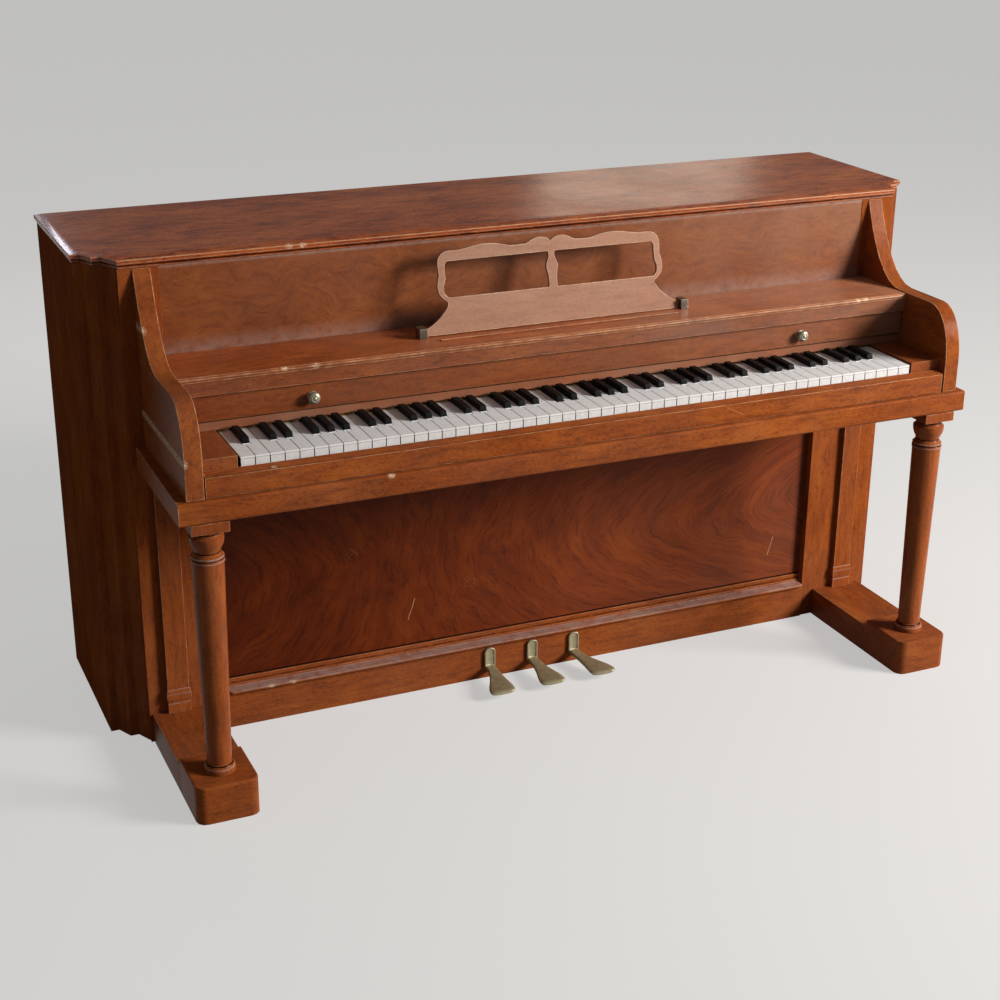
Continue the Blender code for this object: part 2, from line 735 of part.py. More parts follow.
def arms():
    """The scrolled arm in side view: a hollow sweep, a flat rest and a rounded nose."""
    rest = SHELF_TOP + ARM_REST_RISE
    top = CASE_TOP - GAP
    back = STILE_FACE - GAP
    base = KEYBED_TOP + GAP
    low = rest - ARM_NOSE_DROP
    run = back - ARM_REST_BACK
    climb = top - rest
    sweep = bend((back, top), (back - 0.218 * run, rest + 0.449 * climb), (back - 0.568 * run, rest),
                 (ARM_REST_BACK, rest), ARM_STEPS)
    depth = ARM_REST_FRONT - ARM_NOSE
    nose = bend((ARM_REST_FRONT, rest), (ARM_NOSE + 0.4 * depth, rest),
                (ARM_NOSE, low + 0.54 * ARM_NOSE_DROP), (ARM_NOSE, low), ARM_STEPS)
    shape = [(back, base)] + sweep + nose + [(ARM_NOSE, base)]
    add_pair("arm", outline([shape], "X", ARM_INNER, ARM_INNER + ARM_THICK), CASE_WOOD)


def shelf():
    """The shelf with its nosing, the fascia under it, two side cleats and the ledge for sheets."""
    half = CHEEK_OUTER
    under = SHELF_TOP - SHELF_THICK
    back = STILE_FACE - GAP
    rear = FASCIA_FACE + FASCIA_THICK
    profile = [(FASCIA_FACE, FASCIA_BOTTOM), (FASCIA_FACE, SHELF_TOP - 0.011),
               (SHELF_FRONT, SHELF_TOP - 0.008), (SHELF_FRONT, SHELF_TOP - 0.003),
               (SHELF_FRONT + 0.003, SHELF_TOP), (back, SHELF_TOP), (back, under), (rear, under),
               (rear, FASCIA_BOTTOM)]
    obj = add_part("shelf", outline([profile], "X", -half, half), CASE_WOOD)
    inner = CHEEK_INNER + CHEEK_REAR_WIDTH + 2 * GAP
    front = NAMEBOARD_FACE + NAMEBOARD_THICK + GAP
    cleat = box((inner, front, FALL_BOARD_BOTTOM), (half, back, under + 0.002))
    join(obj, [cleat, mirrored(cleat)], "cleats")
    reach = DESK_HALF - LEDGE_INSET
    ledge = box((-reach, LEDGE_Y - LEDGE_THICK / 2, SHELF_TOP - 0.001),
                (reach, LEDGE_Y + LEDGE_THICK / 2, SHELF_TOP + LEDGE_HEIGHT))
    join(obj, [ledge], "ledge")


def fallboard():
    half = CHEEK_OUTER - 2 * GAP
    lip = box((-half, FALL_FACE, FALL_BOTTOM), (half, FALL_FACE + FALL_LIP, FALL_TOP))
    obj = add_part("fallboard", lip, CASE_WOOD, (0.0, FALL_FACE, FALL_BOTTOM))
    half = CHEEK_INNER + CHEEK_REAR_WIDTH
    cover = box((-half, FALL_FACE + FALL_LIP / 2, FALL_BOARD_BOTTOM), (half, FALL_BACK, FALL_BOARD_TOP))
    join(obj, [cover], "cover")


def fallboard_knobs():
    """Turned knobs: a small tip, a full ball, a neck and a flange on the board."""
    profile = [(0.0, 0.0173), (0.0024, 0.0170), (0.0036, 0.0157), (0.0058, 0.0154), (0.0088, 0.0134),
               (0.0105, 0.0102), (0.0097, 0.0072), (0.0072, 0.0055), (0.0054, 0.0042), (0.0062, 0.0026),
               (0.0096, 0.0020), (0.0096, GAP), (0.0, GAP)]
    facing = (math.radians(90), 0.0, 0.0)
    for side, x in (("left", -KNOB_X), ("right", KNOB_X)):
        origin = (x, FALL_FACE, FALL_BOTTOM + KNOB_HEIGHT)
        turned_part("fallboard_knob_" + side, profile, BRASS, origin, ROD_SIDES, facing)


def nameboard():
    board = box((-CHEEK_OUTER, NAMEBOARD_FACE, CHEEK_TOP + GAP),
                (CHEEK_OUTER, NAMEBOARD_FACE + NAMEBOARD_THICK, FALL_BOTTOM - FALL_CLEAR))
    add_part("nameboard", board, CASE_WOOD)


def panels():
    half = STILE_INNER_HIGH - GAP
    upper = box((-half, UPPER_PANEL_FACE, FALL_BOARD_TOP + PANEL_CLEAR),
                (half, UPPER_PANEL_FACE + PANEL_THICK, CASE_TOP - GAP))
    add_part("upper_panel", upper, CASE_WOOD)
    half = STILE_INNER_LOW - GAP
    lower = box((-half, LOWER_PANEL_FACE, RAIL_TOP - RAIL_REBATE),
                (half, LOWER_PANEL_FACE + PANEL_THICK, KEYBED_BOTTOM - GAP))
    add_part("bottom_panel", lower, CASE_WOOD)


def pedal_places():
    return [(name, PEDAL_CENTRE + side * PEDAL_PITCH, side, sweep) for name, side, sweep in PEDAL_SWEEP]


def bottom_rail():
    """The rail under the lower panel: two steps, a round-ended lip and a slot for each pedal."""
    half = STILE_INNER_LOW - GAP
    rebate = LOWER_PANEL_FACE - GAP
    seat = RAIL_TOP - RAIL_REBATE - GAP
    step = RAIL_STEP + RAIL_STEP_DEPTH
    shoulder = LIP_TOP + RAIL_STEP_HEIGHT
    bed = LIP_BOTTOM + LIP_ROUND
    profile = [(RAIL_FACE, 0.0), (RAIL_FACE, bed), (RAIL_STEP, bed), (RAIL_STEP, shoulder), (step, shoulder),
               (step, RAIL_TOP), (rebate, RAIL_TOP), (rebate, seat), (RAIL_BACK, seat), (RAIL_BACK, 0.0)]
    obj = add_part("bottom_rail", outline([profile], "X", -half, half), CASE_WOOD)
    reach = half - LIP_INSET
    back = RAIL_STEP + LIP_ROUND
    r = LIP_CORNER
    plan = arc((-reach + r, LIP_FRONT + r), r, 180, 270, 3) + arc((reach - r, LIP_FRONT + r), r, 270, 360, 3)
    plan += arc((reach - r, back - r), r, 0, 90, 3) + arc((-reach + r, back - r), r, 90, 180, 3)
    rings = []
    for z, cut_back in ((LIP_BOTTOM, LIP_ROUND), (LIP_BOTTOM + LIP_ROUND, 0.0), (LIP_TOP - LIP_ROUND, 0.0),
                        (LIP_TOP, LIP_ROUND)):
        rings.append([(p[0], p[1], z) for p in inset(plan, [cut_back] * len(plan))])
    join(obj, [loft(rings)], "lip")
    slots = []
    for _, x, _, _ in pedal_places():
        half_slot = PEDAL_ARM_WIDTH / 2 + 0.001
        slots.append(box((x - half_slot, RAIL_FACE - RAIL_REBATE, PEDAL_SLOT[0]),
                         (x + half_slot, RAIL_BACK + RAIL_REBATE, PEDAL_SLOT[1])))
    cut(obj, slots, "pedal_slots")


PILASTER_BASE = [(0.0003, 0.0010, 0.0020), (0.0173, 0.0010, 0.0020), (0.0185, 0.0002, 0.0006),
                 (0.0223, 0.0002, 0.0006), (0.0245, 0.0024, 0.0028), (0.0345, 0.0024, 0.0028),
                 (0.0365, 0.0016, 0.0020), (0.0425, 0.0016, 0.0020), (0.0445, 0.0, 0.0)]


def pilasters():
    """Flat columns on a moulded base: each level gives a height and how far it stands out."""
    centre = LEG_X + PILASTER_SHIFT
    back = STILE_FACE - GAP
    levels = [(RUNNER_TOP + rise, side, front) for rise, side, front in PILASTER_BASE]
    levels.append((KEYBED_BOTTOM - GAP, 0.0, 0.0))
    rings = []
    for z, side, front in levels:
        low = centre - PILASTER_WIDTH / 2 - side
        high = centre + PILASTER_WIDTH / 2 + side
        face = PILASTER_FACE - front
        rings.append([(low, face, z), (high, face, z), (high, back, z), (low, back, z)])
    add_pair("pilaster", loft(rings), CASE_WOOD)


LEG_CAPITAL = [(0.0240, 0.0030), (0.0225, 0.0060), (0.0235, 0.0095), (0.0275, 0.0125), (0.0276, 0.0155),
               (0.0270, 0.0220), (0.0252, 0.0275), (0.0228, 0.0320), (0.0205, 0.0380), (0.0240, 0.0435),
               (0.0262, 0.0450), (0.0262, 0.0475), (0.0252, 0.0485), (0.0268, 0.0505), (0.0268, 0.0545)]
LEG_BASE = [(0.0200, 0.0164), (0.0238, 0.0129), (0.0257, 0.0069)]
LEG_NECK_DROP = 0.0565
LEG_NECK_RISE = 0.0254


def leg_profile():
    """Radius and height from the block down: capital rings, tapered column, turned base."""
    top = LEG_BLOCK_BOTTOM + 0.002
    rings = [(0.0, top), (LEG_CAPITAL[0][0], top)]
    rings += [(radius, LEG_BLOCK_BOTTOM - drop) for radius, drop in LEG_CAPITAL]
    rings += [(LEG_COLUMN_TOP, LEG_BLOCK_BOTTOM - LEG_NECK_DROP), (LEG_COLUMN_FOOT, TOE_TOP + LEG_NECK_RISE)]
    rings += [(radius, TOE_TOP + rise) for radius, rise in LEG_BASE]
    foot = TOE_TOP + GAP
    return rings + [(LEG_BASE[-1][0], foot), (0.0, foot)]


def legs():
    reach = LEG_BLOCK / 2
    for side, x in (("left", -LEG_X), ("right", LEG_X)):
        obj = turned_part("leg_" + side, leg_profile(), CASE_WOOD, (x, LEG_Y, 0.0), TURN_STEPS)
        block = box((x - reach, LEG_Y - reach, LEG_BLOCK_BOTTOM),
                    (x + reach, LEG_Y + reach, KEYBED_BOTTOM - GAP))
        join(obj, [block], "block")


def feet():
    """A long runner under each side and a toe block with round front corners under each leg."""
    runner = box((FOOT_INNER, TOE_BACK + GAP, 0.0), (FOOT_OUTER, STILE_FACE - GAP, RUNNER_TOP))
    add_pair("foot_runner", runner, CASE_WOOD)
    r = TOE_CORNER
    plan = arc((FOOT_INNER + r, TOE_FRONT + r), r, 180, 270, 3)
    plan += arc((FOOT_OUTER - r, TOE_FRONT + r), r, 270, 360, 3)
    plan += [(FOOT_OUTER, TOE_BACK), (FOOT_INNER, TOE_BACK)]
    rings = []
    for drop, back in ((TOE_TOP, 0.0), (0.004, 0.0), (0.0012, 0.0012), (0.0, 0.004)):
        distances = [back] * len(plan)
        distances[-2] = back / 4
        rings.append([(p[0], p[1], TOE_TOP - drop) for p in inset(plan, distances)])
    add_pair("toe_block", loft(rings), CASE_WOOD)


OCTAVE_NAMES = ("c", "d", "e", "f", "g", "a", "b")
SHARP_SIDES = {"c": -1.0, "d": 1.0, "f": -1.5, "g": 0.0, "a": 1.5}


def note_of(index):
    """Name of a white key; the lowest is an A."""
    return OCTAVE_NAMES[(index + 5) % 7]


def has_sharp(index):
    return 0 <= index < WHITE_COUNT - 1 and note_of(index) in SHARP_SIDES


def sharp_centre(index):
    """Middle of the sharp after a white key: near the border of its neighbours, a little aside."""
    return (index + 1) * KEY_PITCH - KEYS_HALF + SHARP_SPREAD * SHARP_SIDES[note_of(index)]


def white_key(index, length):
    """A natural: a full-width head and a tail notched for the sharps beside it."""
    left = index * KEY_PITCH - KEYS_HALF + KEY_GAP / 2
    right = left + KEY_PITCH - KEY_GAP
    tail_left = sharp_centre(index - 1) + BLACK_SLOT / 2 if has_sharp(index - 1) else left
    tail_right = sharp_centre(index) - BLACK_SLOT / 2 if has_sharp(index) else right
    plan = [(left, 0.0), (right, 0.0)]
    if has_sharp(index):
        plan += [(right, HEAD_LENGTH), (tail_right, HEAD_LENGTH)]
    plan += [(tail_right, length), (tail_left, length)]
    if has_sharp(index - 1):
        plan += [(tail_left, HEAD_LENGTH), (left, HEAD_LENGTH)]
    return outline([plan], "Z", KEY_BOTTOM, WHITE_TOP)


def black_key(index, length):
    """The sharp after a white key: a lever with a sloped and tapered cap."""
    centre = sharp_centre(index)
    w = BLACK_WIDTH / 2
    t = BLACK_TOP_WIDTH / 2
    low = BLACK_SHOULDER + 0.0005
    stations = [(BLACK_FRONT, low), (BLACK_FRONT + BLACK_SLOPE, BLACK_TOP), (BLACK_BACK, BLACK_TOP),
                (BLACK_BACK + 0.0005, low), (length, low)]
    rings = []
    for y, top in stations:
        rings.append([(centre - w, y, KEY_BOTTOM), (centre + w, y, KEY_BOTTOM),
                      (centre + w, y, BLACK_SHOULDER), (centre + t, y, top),
                      (centre - t, y, top), (centre - w, y, BLACK_SHOULDER)])
    return loft(rings)


def keys():
    pivot = (0.0, BALANCE_Y, KEY_BOTTOM)
    last = MIDDLE_C_WHITE + len(OCTAVE_NAMES)
    for index in range(MIDDLE_C_WHITE, last):
        add_part("key_" + note_of(index) + "4", white_key(index, KEY_LENGTH), IVORY, pivot)
        if has_sharp(index):
            add_part("key_" + note_of(index) + "_sharp4", black_key(index, KEY_LENGTH), EBONY, pivot)
    key_block("bass_keys", range(0, MIDDLE_C_WHITE))
    key_block("treble_keys", range(last, WHITE_COUNT))


def key_block(name, indices):
    """The keys of one side of the keyboard, joined behind the nameboard by one bar of key wood."""
    first = indices[0] * KEY_PITCH - KEYS_HALF
    last = first + len(indices) * KEY_PITCH
    start = NAMEBOARD_FACE + NAMEBOARD_THICK
    bar = box((first + KEY_GAP / 2, start, KEY_BOTTOM + 0.0002),
              (last - KEY_GAP / 2, KEY_LENGTH, BLACK_SHOULDER))
    obj = add_part(name, bar, IVORY, (0.0, BALANCE_Y, KEY_BOTTOM))
    length = start + 0.006
    shapes = [white_key(i, length) for i in indices]
    shapes += [black_key(i, length) for i in indices if has_sharp(i)]
    join(obj, shapes, "keys")


def key_frame():
    """Front, balance and back rails on cross slats under the keys."""
    half = KEYS_HALF
    base = KEYBED_TOP + GAP
    reach = BALANCE_WIDTH / 2
    balance = box((-half, BALANCE_Y - reach, base), (half, BALANCE_Y + reach, KEY_BOTTOM - 0.003))
    obj = add_part("key_frame", balance, FRAME_WOOD)
    bead = box((-half, BALANCE_Y - 0.002, KEY_BOTTOM - 0.005), (half, BALANCE_Y + 0.002, KEY_BOTTOM - GAP))
    join(obj, [bead], "bead")
    outer = half - SLAT_WIDTH / 2 - 0.001
    slats = []
    for x in (-outer, -half / 3, half / 3, outer):
        slats.append(box((x - SLAT_WIDTH / 2, SLAT_FRONT, base + 0.0001),
                         (x + SLAT_WIDTH / 2, KEY_LENGTH - SLAT_INSET, base + SLAT_HEIGHT)))
    join(obj, slats, "slats")
    front = box((-half, FRONT_RAIL_Y[0], base), (half, FRONT_RAIL_Y[1], base + FRONT_RAIL_HEIGHT))
    end = KEY_LENGTH - BACK_RAIL_INSET
    back = box((-half, end - BACK_RAIL_WIDTH, base), (half, end, KEY_BOTTOM - GAP))
    join(obj, [front, back], "rails")


# Music desk in the plane of its board: (x, height) pairs of the right half
DESK_EDGE = [
    (0.0, 0.139), (0.0075, 0.145), (0.0225, 0.1472), (0.035, 0.1435), (0.045, 0.1384), (0.0535, 0.138),
    (0.074, 0.1375), (0.097, 0.143), (0.125, 0.1446), (0.153, 0.1405), (0.171, 0.1382), (0.1925, 0.138),
    (0.2045, 0.130), (0.208, 0.116), (0.207, 0.100), (0.211, 0.084), (0.209, 0.068), (0.200, 0.058),
    (0.195, 0.054), (0.1965, 0.0455), (0.205, 0.035), (0.217, 0.024), (0.2325, 0.0150), (0.237, 0.0138)]
DESK_FOOT = 0.001
WINDOW_MULLION = [(0.008, 0.0615), (0.0075, 0.077), (0.0105, 0.093), (0.0108, 0.100), (0.006, 0.112),
                  (0.0065, 0.1215)]
WINDOW_SIDE = [(0.190, 0.121), (0.1955, 0.115), (0.1955, 0.092), (0.1995, 0.080), (0.1985, 0.068),
               (0.191, 0.0613)]


def desk_loops():
    """The scalloped outline and the two windows; widths follow the half width of the desk."""
    stretch = DESK_HALF / DESK_EDGE[-1][0]
    edge = smooth_run(DESK_EDGE, 2) + [(DESK_EDGE[-1][0], DESK_FOOT)]
    window = smooth_run(WINDOW_MULLION, 2) + smooth_run(WINDOW_SIDE, 2)
    edge = [(x * stretch, s) for x, s in edge]
    window = [(x * stretch, s) for x, s in window]
    outer = edge + [(-x, s) for x, s in reversed(edge[1:])]
    return [outer, window, [(-x, s) for x, s in reversed(window)]]


def music_desk():
    """The desk leans back about its pins; its outline is drawn in the plane of the board."""
    pivot = (0.0, DESK_PIVOT_Y, SHELF_TOP + DESK_PIVOT_RISE)
    mesh = outline(desk_loops(), "Y", -DESK_THICK / 2, DESK_THICK / 2)
    lean = Matrix.Rotation(-math.radians(DESK_LEAN_DEG), 4, "X")
    mesh.transform(Matrix.Translation(pivot) @ lean @ Matrix.Translation((0.0, 0.0, -DESK_PIVOT_RISE)))
    obj = add_part("music_desk", mesh, DESK_WOOD, pivot)
    start = DESK_HALF - DESK_PIN_REACH - 2 * GAP
    bore = rod((start, *pivot[1:]), (DESK_HALF + DESK_PIN_REACH, *pivot[1:]), DESK_PIN + DESK_PIN_PLAY)
    cut(obj, [bore, mirrored(bore)], "bores")


def desk_brackets():
    y = DESK_PIVOT_Y
    z = SHELF_TOP + DESK_PIVOT_RISE
    mesh = box((BRACKET_INNER, y - BRACKET_FRONT, SHELF_TOP + GAP),
               (BRACKET_INNER + BRACKET_WIDTH, y + BRACKET_BACK, SHELF_TOP + BRACKET_HEIGHT))
    left, right = add_pair("desk_bracket", mesh, BRASS, (BRACKET_INNER, y, SHELF_TOP))
    pin = rod((DESK_HALF - DESK_PIN_REACH, y, z), (BRACKET_INNER + 0.003, y, z), DESK_PIN)
    join(left, [mirrored(pin)], "pin")
    join(right, [pin], "pin")


# Foot of a pedal: share of its length, share of its sweep, half width, drop and thickness
PEDAL_STATIONS = [
    (0.0, 0.0, 0.0105, 0.0, 0.0105), (0.14, 0.05, 0.0103, 0.0003, 0.0100),
    (0.36, 0.26, 0.0122, 0.0015, 0.0095), (0.58, 0.56, 0.0172, 0.0025, 0.0095),
    (0.77, 0.84, 0.0226, 0.0035, 0.0097), (0.90, 0.97, 0.0242, 0.0045, 0.0100),
    (0.965, 1.0, 0.0226, 0.0053, 0.0092), (1.0, 1.0, 0.0170, 0.0075, 0.0055)]
PEDAL_FOOT_RISE = 0.0029


def pedal_section(x, half, y, top, thick):
    """One cross-section of the pedal's foot: crowned above, flatter below."""
    shape = ((-1.0, 0.45), (-0.62, 0.08), (0.0, 0.0), (0.62, 0.08), (1.0, 0.45), (0.7, 0.95), (0.0, 1.0),
             (-0.7, 0.95))
    return [(x + half * across, y, top - thick * drop) for across, drop in shape]


def pedals():
    """Cast pedals: an upright plate before the rail, a flared foot and an arm to the trapwork."""
    half = PEDAL_PLATE_WIDTH / 2
    face = PEDAL_PLATE_FACE
    root = face + PEDAL_PLATE_THICK / 2
    foot_top = PEDAL_PLATE_BOTTOM + PEDAL_FOOT_RISE
    arch_z = PEDAL_PLATE_BOTTOM + PEDAL_PLATE_HEIGHT - half
    for name, x, side, sweep in pedal_places():
        rings = []
        for share, aside, width, drop, thick in PEDAL_STATIONS:
            y = root + (PEDAL_TIP_Y - root) * share
            rings.append(pedal_section(x + sweep * aside, width, y, foot_top - drop, thick))
        obj = add_part("pedal_" + name, loft(rings), BRASS, (x, PEDAL_AXIS_Y, PEDAL_AXIS_Z))
        shape = arc((x, arch_z), half, 0, 180, 8)
        shape += [(x - half, PEDAL_PLATE_BOTTOM), (x + half, PEDAL_PLATE_BOTTOM)]
        join(obj, [outline([shape], "Y", face, face + PEDAL_PLATE_THICK)], "plate")
        reach = PEDAL_ARM_WIDTH / 2
        back = TRAP_Y + reach if side else PEDAL_ARM_BACK
        join(obj, [box((x - reach, face + 0.001, PEDAL_ARM_BOTTOM), (x + reach, back, PEDAL_ARM_TOP))], "arm")
        r = half - PEDAL_RIM
        floor = foot_top + PEDAL_RIM
        hollow = arc((x, arch_z), r, 0, 180, 8) + [(x - r, floor), (x + r, floor)]
        cut(obj, [outline([hollow], "Y", face - 0.01, face + PEDAL_DISH)], "dish")
        span = PEDAL_ARM_WIDTH
        bore = rod((x - span, PEDAL_AXIS_Y, PEDAL_AXIS_Z), (x + span, PEDAL_AXIS_Y, PEDAL_AXIS_Z),
                   PEDAL_PIN + RUNNING)
        cut(obj, [bore], "bore")


def bottom_board():
    """Plank on the floor with a forked block and pin for each pedal and each trap lever."""
    half = TRAP_PIVOT_X + BOARD_END
    plank = box((-half, RAIL_BACK + GAP, 0.0), (half, STRING_PLANE, BOARD_TOP))
    obj = add_part("bottom_board", plank, FRAME_WOOD)
    blocks = []
    pins = []
    reach = PEDAL_ARM_WIDTH / 2 + GAP
    depth = HINGE_BLOCK_DEPTH / 2
    base = BOARD_TOP - 0.002
    for _, x, _, _ in pedal_places():
        for side in (-1, 1):
            low, high = sorted((x + side * reach, x + side * (reach + HINGE_BLOCK)))
            blocks.append(box((low, PEDAL_AXIS_Y - depth, base),
                              (high, PEDAL_AXIS_Y + depth, HINGE_BLOCK_TOP)))
        span = reach + HINGE_BLOCK / 2
        pins.append(rod((x - span, PEDAL_AXIS_Y, PEDAL_AXIS_Z), (x + span, PEDAL_AXIS_Y, PEDAL_AXIS_Z),
                        PEDAL_PIN))
    trap_z = (TRAP_BOTTOM + TRAP_TOP) / 2
    fork = TRAP_FORK_WIDTH / 2
    for x in (-TRAP_PIVOT_X, TRAP_PIVOT_X):
        for side in (-1, 1):
            inner = TRAP_Y + side * (TRAP_WIDTH / 2 + GAP)
            low, high = sorted((inner, inner + side * TRAP_FORK))
            blocks.append(box((x - fork, low, base), (x + fork, high, TRAP_FORK_TOP)))
        span = TRAP_WIDTH / 2 + TRAP_FORK / 2
        pins.append(rod((x, TRAP_Y - span, trap_z), (x, TRAP_Y + span, trap_z), PEDAL_PIN))
    join(obj, blocks, "blocks")
    join(obj, pins, "pins")


def trap_levers():
    """A lever over each outer pedal's arm, with the dowel that lifts the action."""
    trap_z = (TRAP_BOTTOM + TRAP_TOP) / 2
    for name, x, side, _ in pedal_places():
        if not side:
            continue
        pivot = (side * TRAP_PIVOT_X, TRAP_Y, trap_z)
        low, high = sorted((x - side * TRAP_END, side * (TRAP_PIVOT_X + TRAP_END)))
        bar = box((low, TRAP_Y - TRAP_WIDTH / 2, TRAP_BOTTOM), (high, TRAP_Y + TRAP_WIDTH / 2, TRAP_TOP))
        obj = add_part("trap_lever_" + name, bar, FRAME_WOOD, pivot)
        foot = (side * TRAP_DOWEL_X, TRAP_Y, TRAP_TOP - TRAP_DOWEL_RADIUS)
        head = (side * TRAP_DOWEL_X, TRAP_Y, KEYBED_TOP + TRAP_DOWEL_ABOVE)
        join(obj, [rod(foot, head, TRAP_DOWEL_RADIUS)], "dowel")
        bore = rod((pivot[0], TRAP_Y - TRAP_WIDTH, trap_z), (pivot[0], TRAP_Y + TRAP_WIDTH, trap_z),
                   PEDAL_PIN + RUNNING)
        cut(obj, [bore], "bore")


def back_frame():
    """A top beam and a sill with square posts between them."""
    top = CASE_TOP - GAP
    beam = box((-INNER_HALF, POST_FRONT, top - BACK_BEAM), (INNER_HALF, CASE_BACK, top))
    obj = add_part("back_frame", beam, FRAME_WOOD)
    join(obj, [box((-INNER_HALF, POST_FRONT, 0.0), (INNER_HALF, CASE_BACK, BACK_BEAM))], "sill")
    reach = INNER_HALF - POST_WIDTH / 2 - 0.001
    posts = []
    for k in range(POST_COUNT):
        x = -reach + 2 * reach * k / (POST_COUNT - 1)
        posts.append(box((x - POST_WIDTH / 2, POST_FRONT + 0.001, BACK_BEAM / 2),
                         (x + POST_WIDTH / 2, CASE_BACK - 0.004, top - BACK_BEAM / 2)))
    join(obj, posts, "posts")


def soundboard():
    """A thin board with slanted ribs behind it and two bridges on its face."""
    top = PIN_BLOCK_BOTTOM - GAP
    back = SOUNDBOARD_FRONT + SOUNDBOARD_THICK
    board = box((-INNER_HALF, SOUNDBOARD_FRONT, SOUNDBOARD_BOTTOM), (INNER_HALF, back, top))
    obj = add_part("soundboard", board, SPRUCE)
    middle = (top + SOUNDBOARD_BOTTOM) / 2
    length = (top - SOUNDBOARD_BOTTOM) / 2 - RIB_MARGIN
    reach = INNER_HALF - RIB_INSET
    ribs = []
    for k in range(RIB_COUNT):
        x = -reach + 2 * reach * k / (RIB_COUNT - 1)
        rib = box((-RIB_WIDTH / 2, back - 0.001, -length), (RIB_WIDTH / 2, POST_FRONT - GAP, length))
        turn = Matrix.Rotation(math.radians(RIB_TILT_DEG), 4, "Y")
        rib.transform(Matrix.Translation((x, 0.0, middle)) @ turn)
        ribs.append(rib)
    join(obj, ribs, "ribs")
    (x0, z0), (x1, z1) = TREBLE_BRIDGE
    upper = []
    lower = []
    for k in range(13):
        t = k / 12
        x = x0 + (x1 - x0) * t
        z = z0 + (z1 - z0) * t + TREBLE_BRIDGE_SWAY * math.sin(2 * math.pi * t)
        upper.append((x, z + BRIDGE_WIDTH / 2))
        lower.append((x, z - BRIDGE_WIDTH / 2))
    seat = SOUNDBOARD_FRONT + 0.001
    join(obj, [outline([upper + list(reversed(lower))], "Y", BRIDGE_FRONT, seat)], "treble_bridge")
    bass = box((-BASS_BRIDGE_LENGTH / 2, BRIDGE_FRONT, -BRIDGE_WIDTH / 2),
               (BASS_BRIDGE_LENGTH / 2, seat, BRIDGE_WIDTH / 2))
    turn = Matrix.Rotation(math.radians(BASS_BRIDGE_TILT_DEG), 4, "Y")
    bass.transform(Matrix.Translation((BASS_BRIDGE[0], 0.0, BASS_BRIDGE[1])) @ turn)
    join(obj, [bass], "bass_bridge")


def iron_plate():
    """Cast plate: an outer harp with windows between its struts and a toe on the soundboard."""
    half = INNER_HALF - PLATE_INSET
    top = CASE_TOP - PLATE_DROP
    outer = [(-half, PLATE_BOTTOM), (half, PLATE_BOTTOM), (half, PLATE_BOTTOM + PLATE_SHOULDER),
             (half - PLATE_WAIST, PIN_BLOCK_BOTTOM - PLATE_WAIST_DROP), (half, PIN_BLOCK_BOTTOM), (half, top),
             (-half, top)]
    low = PLATE_BOTTOM + PLATE_SILL
    high = PIN_BLOCK_BOTTOM - PLATE_HEADER
    span = 2 * half - PLATE_BASS_MARGIN - PLATE_TREBLE_MARGIN
    width = (span - (PLATE_WINDOWS - 1) * PLATE_STRUT) / PLATE_WINDOWS
    loops = [outer]
    for k in range(PLATE_WINDOWS):
        left = -half + PLATE_BASS_MARGIN + k * (width + PLATE_STRUT)
        loops.append([(left, high), (left + width, high), (left + width, low), (left, low)])
    obj = add_part("iron_plate", outline(loops, "Y", PLATE_FRONT, PLATE_FRONT + PLATE_THICK), IRON)
    rounding = obj.modifiers.new("Rounding", "BEVEL")
    rounding.width = PLATE_THICK / 6
    rounding.segments = 1
    rounding.limit_method = "ANGLE"
    rounding.angle_limit = math.radians(60)
    toe = box((-half + 0.005, PLATE_FRONT + 0.003, PLATE_BOTTOM + 0.004),
              (half - 0.005, SOUNDBOARD_FRONT - GAP, PLATE_BOTTOM + PLATE_TOE_HEIGHT))
    join(obj, [toe], "toe")


def pin_block():
    block = box((-INNER_HALF, PLATE_FRONT + PLATE_THICK + GAP, PIN_BLOCK_BOTTOM),
                (INNER_HALF, POST_FRONT - GAP, PIN_BLOCK_TOP))
    add_part("pin_block", block, FRAME_WOOD)


def action_frame():
    """Two end brackets on the keybed with the rest rail and main rail between them."""
    base = KEYBED_TOP + GAP
    foot = (KEYBED_BACK - ACTION_FOOT, KEYBED_BACK - 2 * GAP)
    step = DAMPER_Z - 0.019
    crest = HAMMER_Z + ACTION_CREST
    side = [(foot[0], base), (foot[1], base), (foot[1], step), (DAMPER_Y + 0.012, step),
            (DAMPER_Y + 0.012, DAMPER_Z + 0.015), (HAMMER_Y + 0.014, HAMMER_Z + 0.012),
            (HAMMER_Y + 0.008, crest), (HAMMER_Y - 0.024, crest), (HAMMER_Y - 0.024, HAMMER_Z + 0.002),
            (foot[0], base + 0.0235)]
    reach = ACTION_END + ACTION_END_THICK / 3
    rest_rail = box((-reach, HAMMER_Y - 0.022, HAMMER_Z + 0.050),
                    (reach, HAMMER_Y - 0.0033, HAMMER_Z + 0.068))
    obj = add_part("action_frame", rest_rail, FRAME_WOOD)
    end = outline([side], "X", ACTION_END, ACTION_END + ACTION_END_THICK)
    join(obj, [end, mirrored(end)], "ends")
    main_rail = box((-reach, KEYBED_BACK + 0.002, HAMMER_Z - 0.040),
                    (reach, KEYBED_BACK + 0.014, HAMMER_Z - 0.018))
    join(obj, [main_rail], "main_rail")
    span = ACTION_END + 2 * ACTION_END_THICK
    bores = [rod((-span, HAMMER_Y, HAMMER_Z), (span, HAMMER_Y, HAMMER_Z), HAMMER_ROD + RUNNING),
             rod((-span, DAMPER_Y, DAMPER_Z), (span, DAMPER_Y, DAMPER_Z), DAMPER_ROD + RUNNING)]
    cut(obj, bores, "bores")


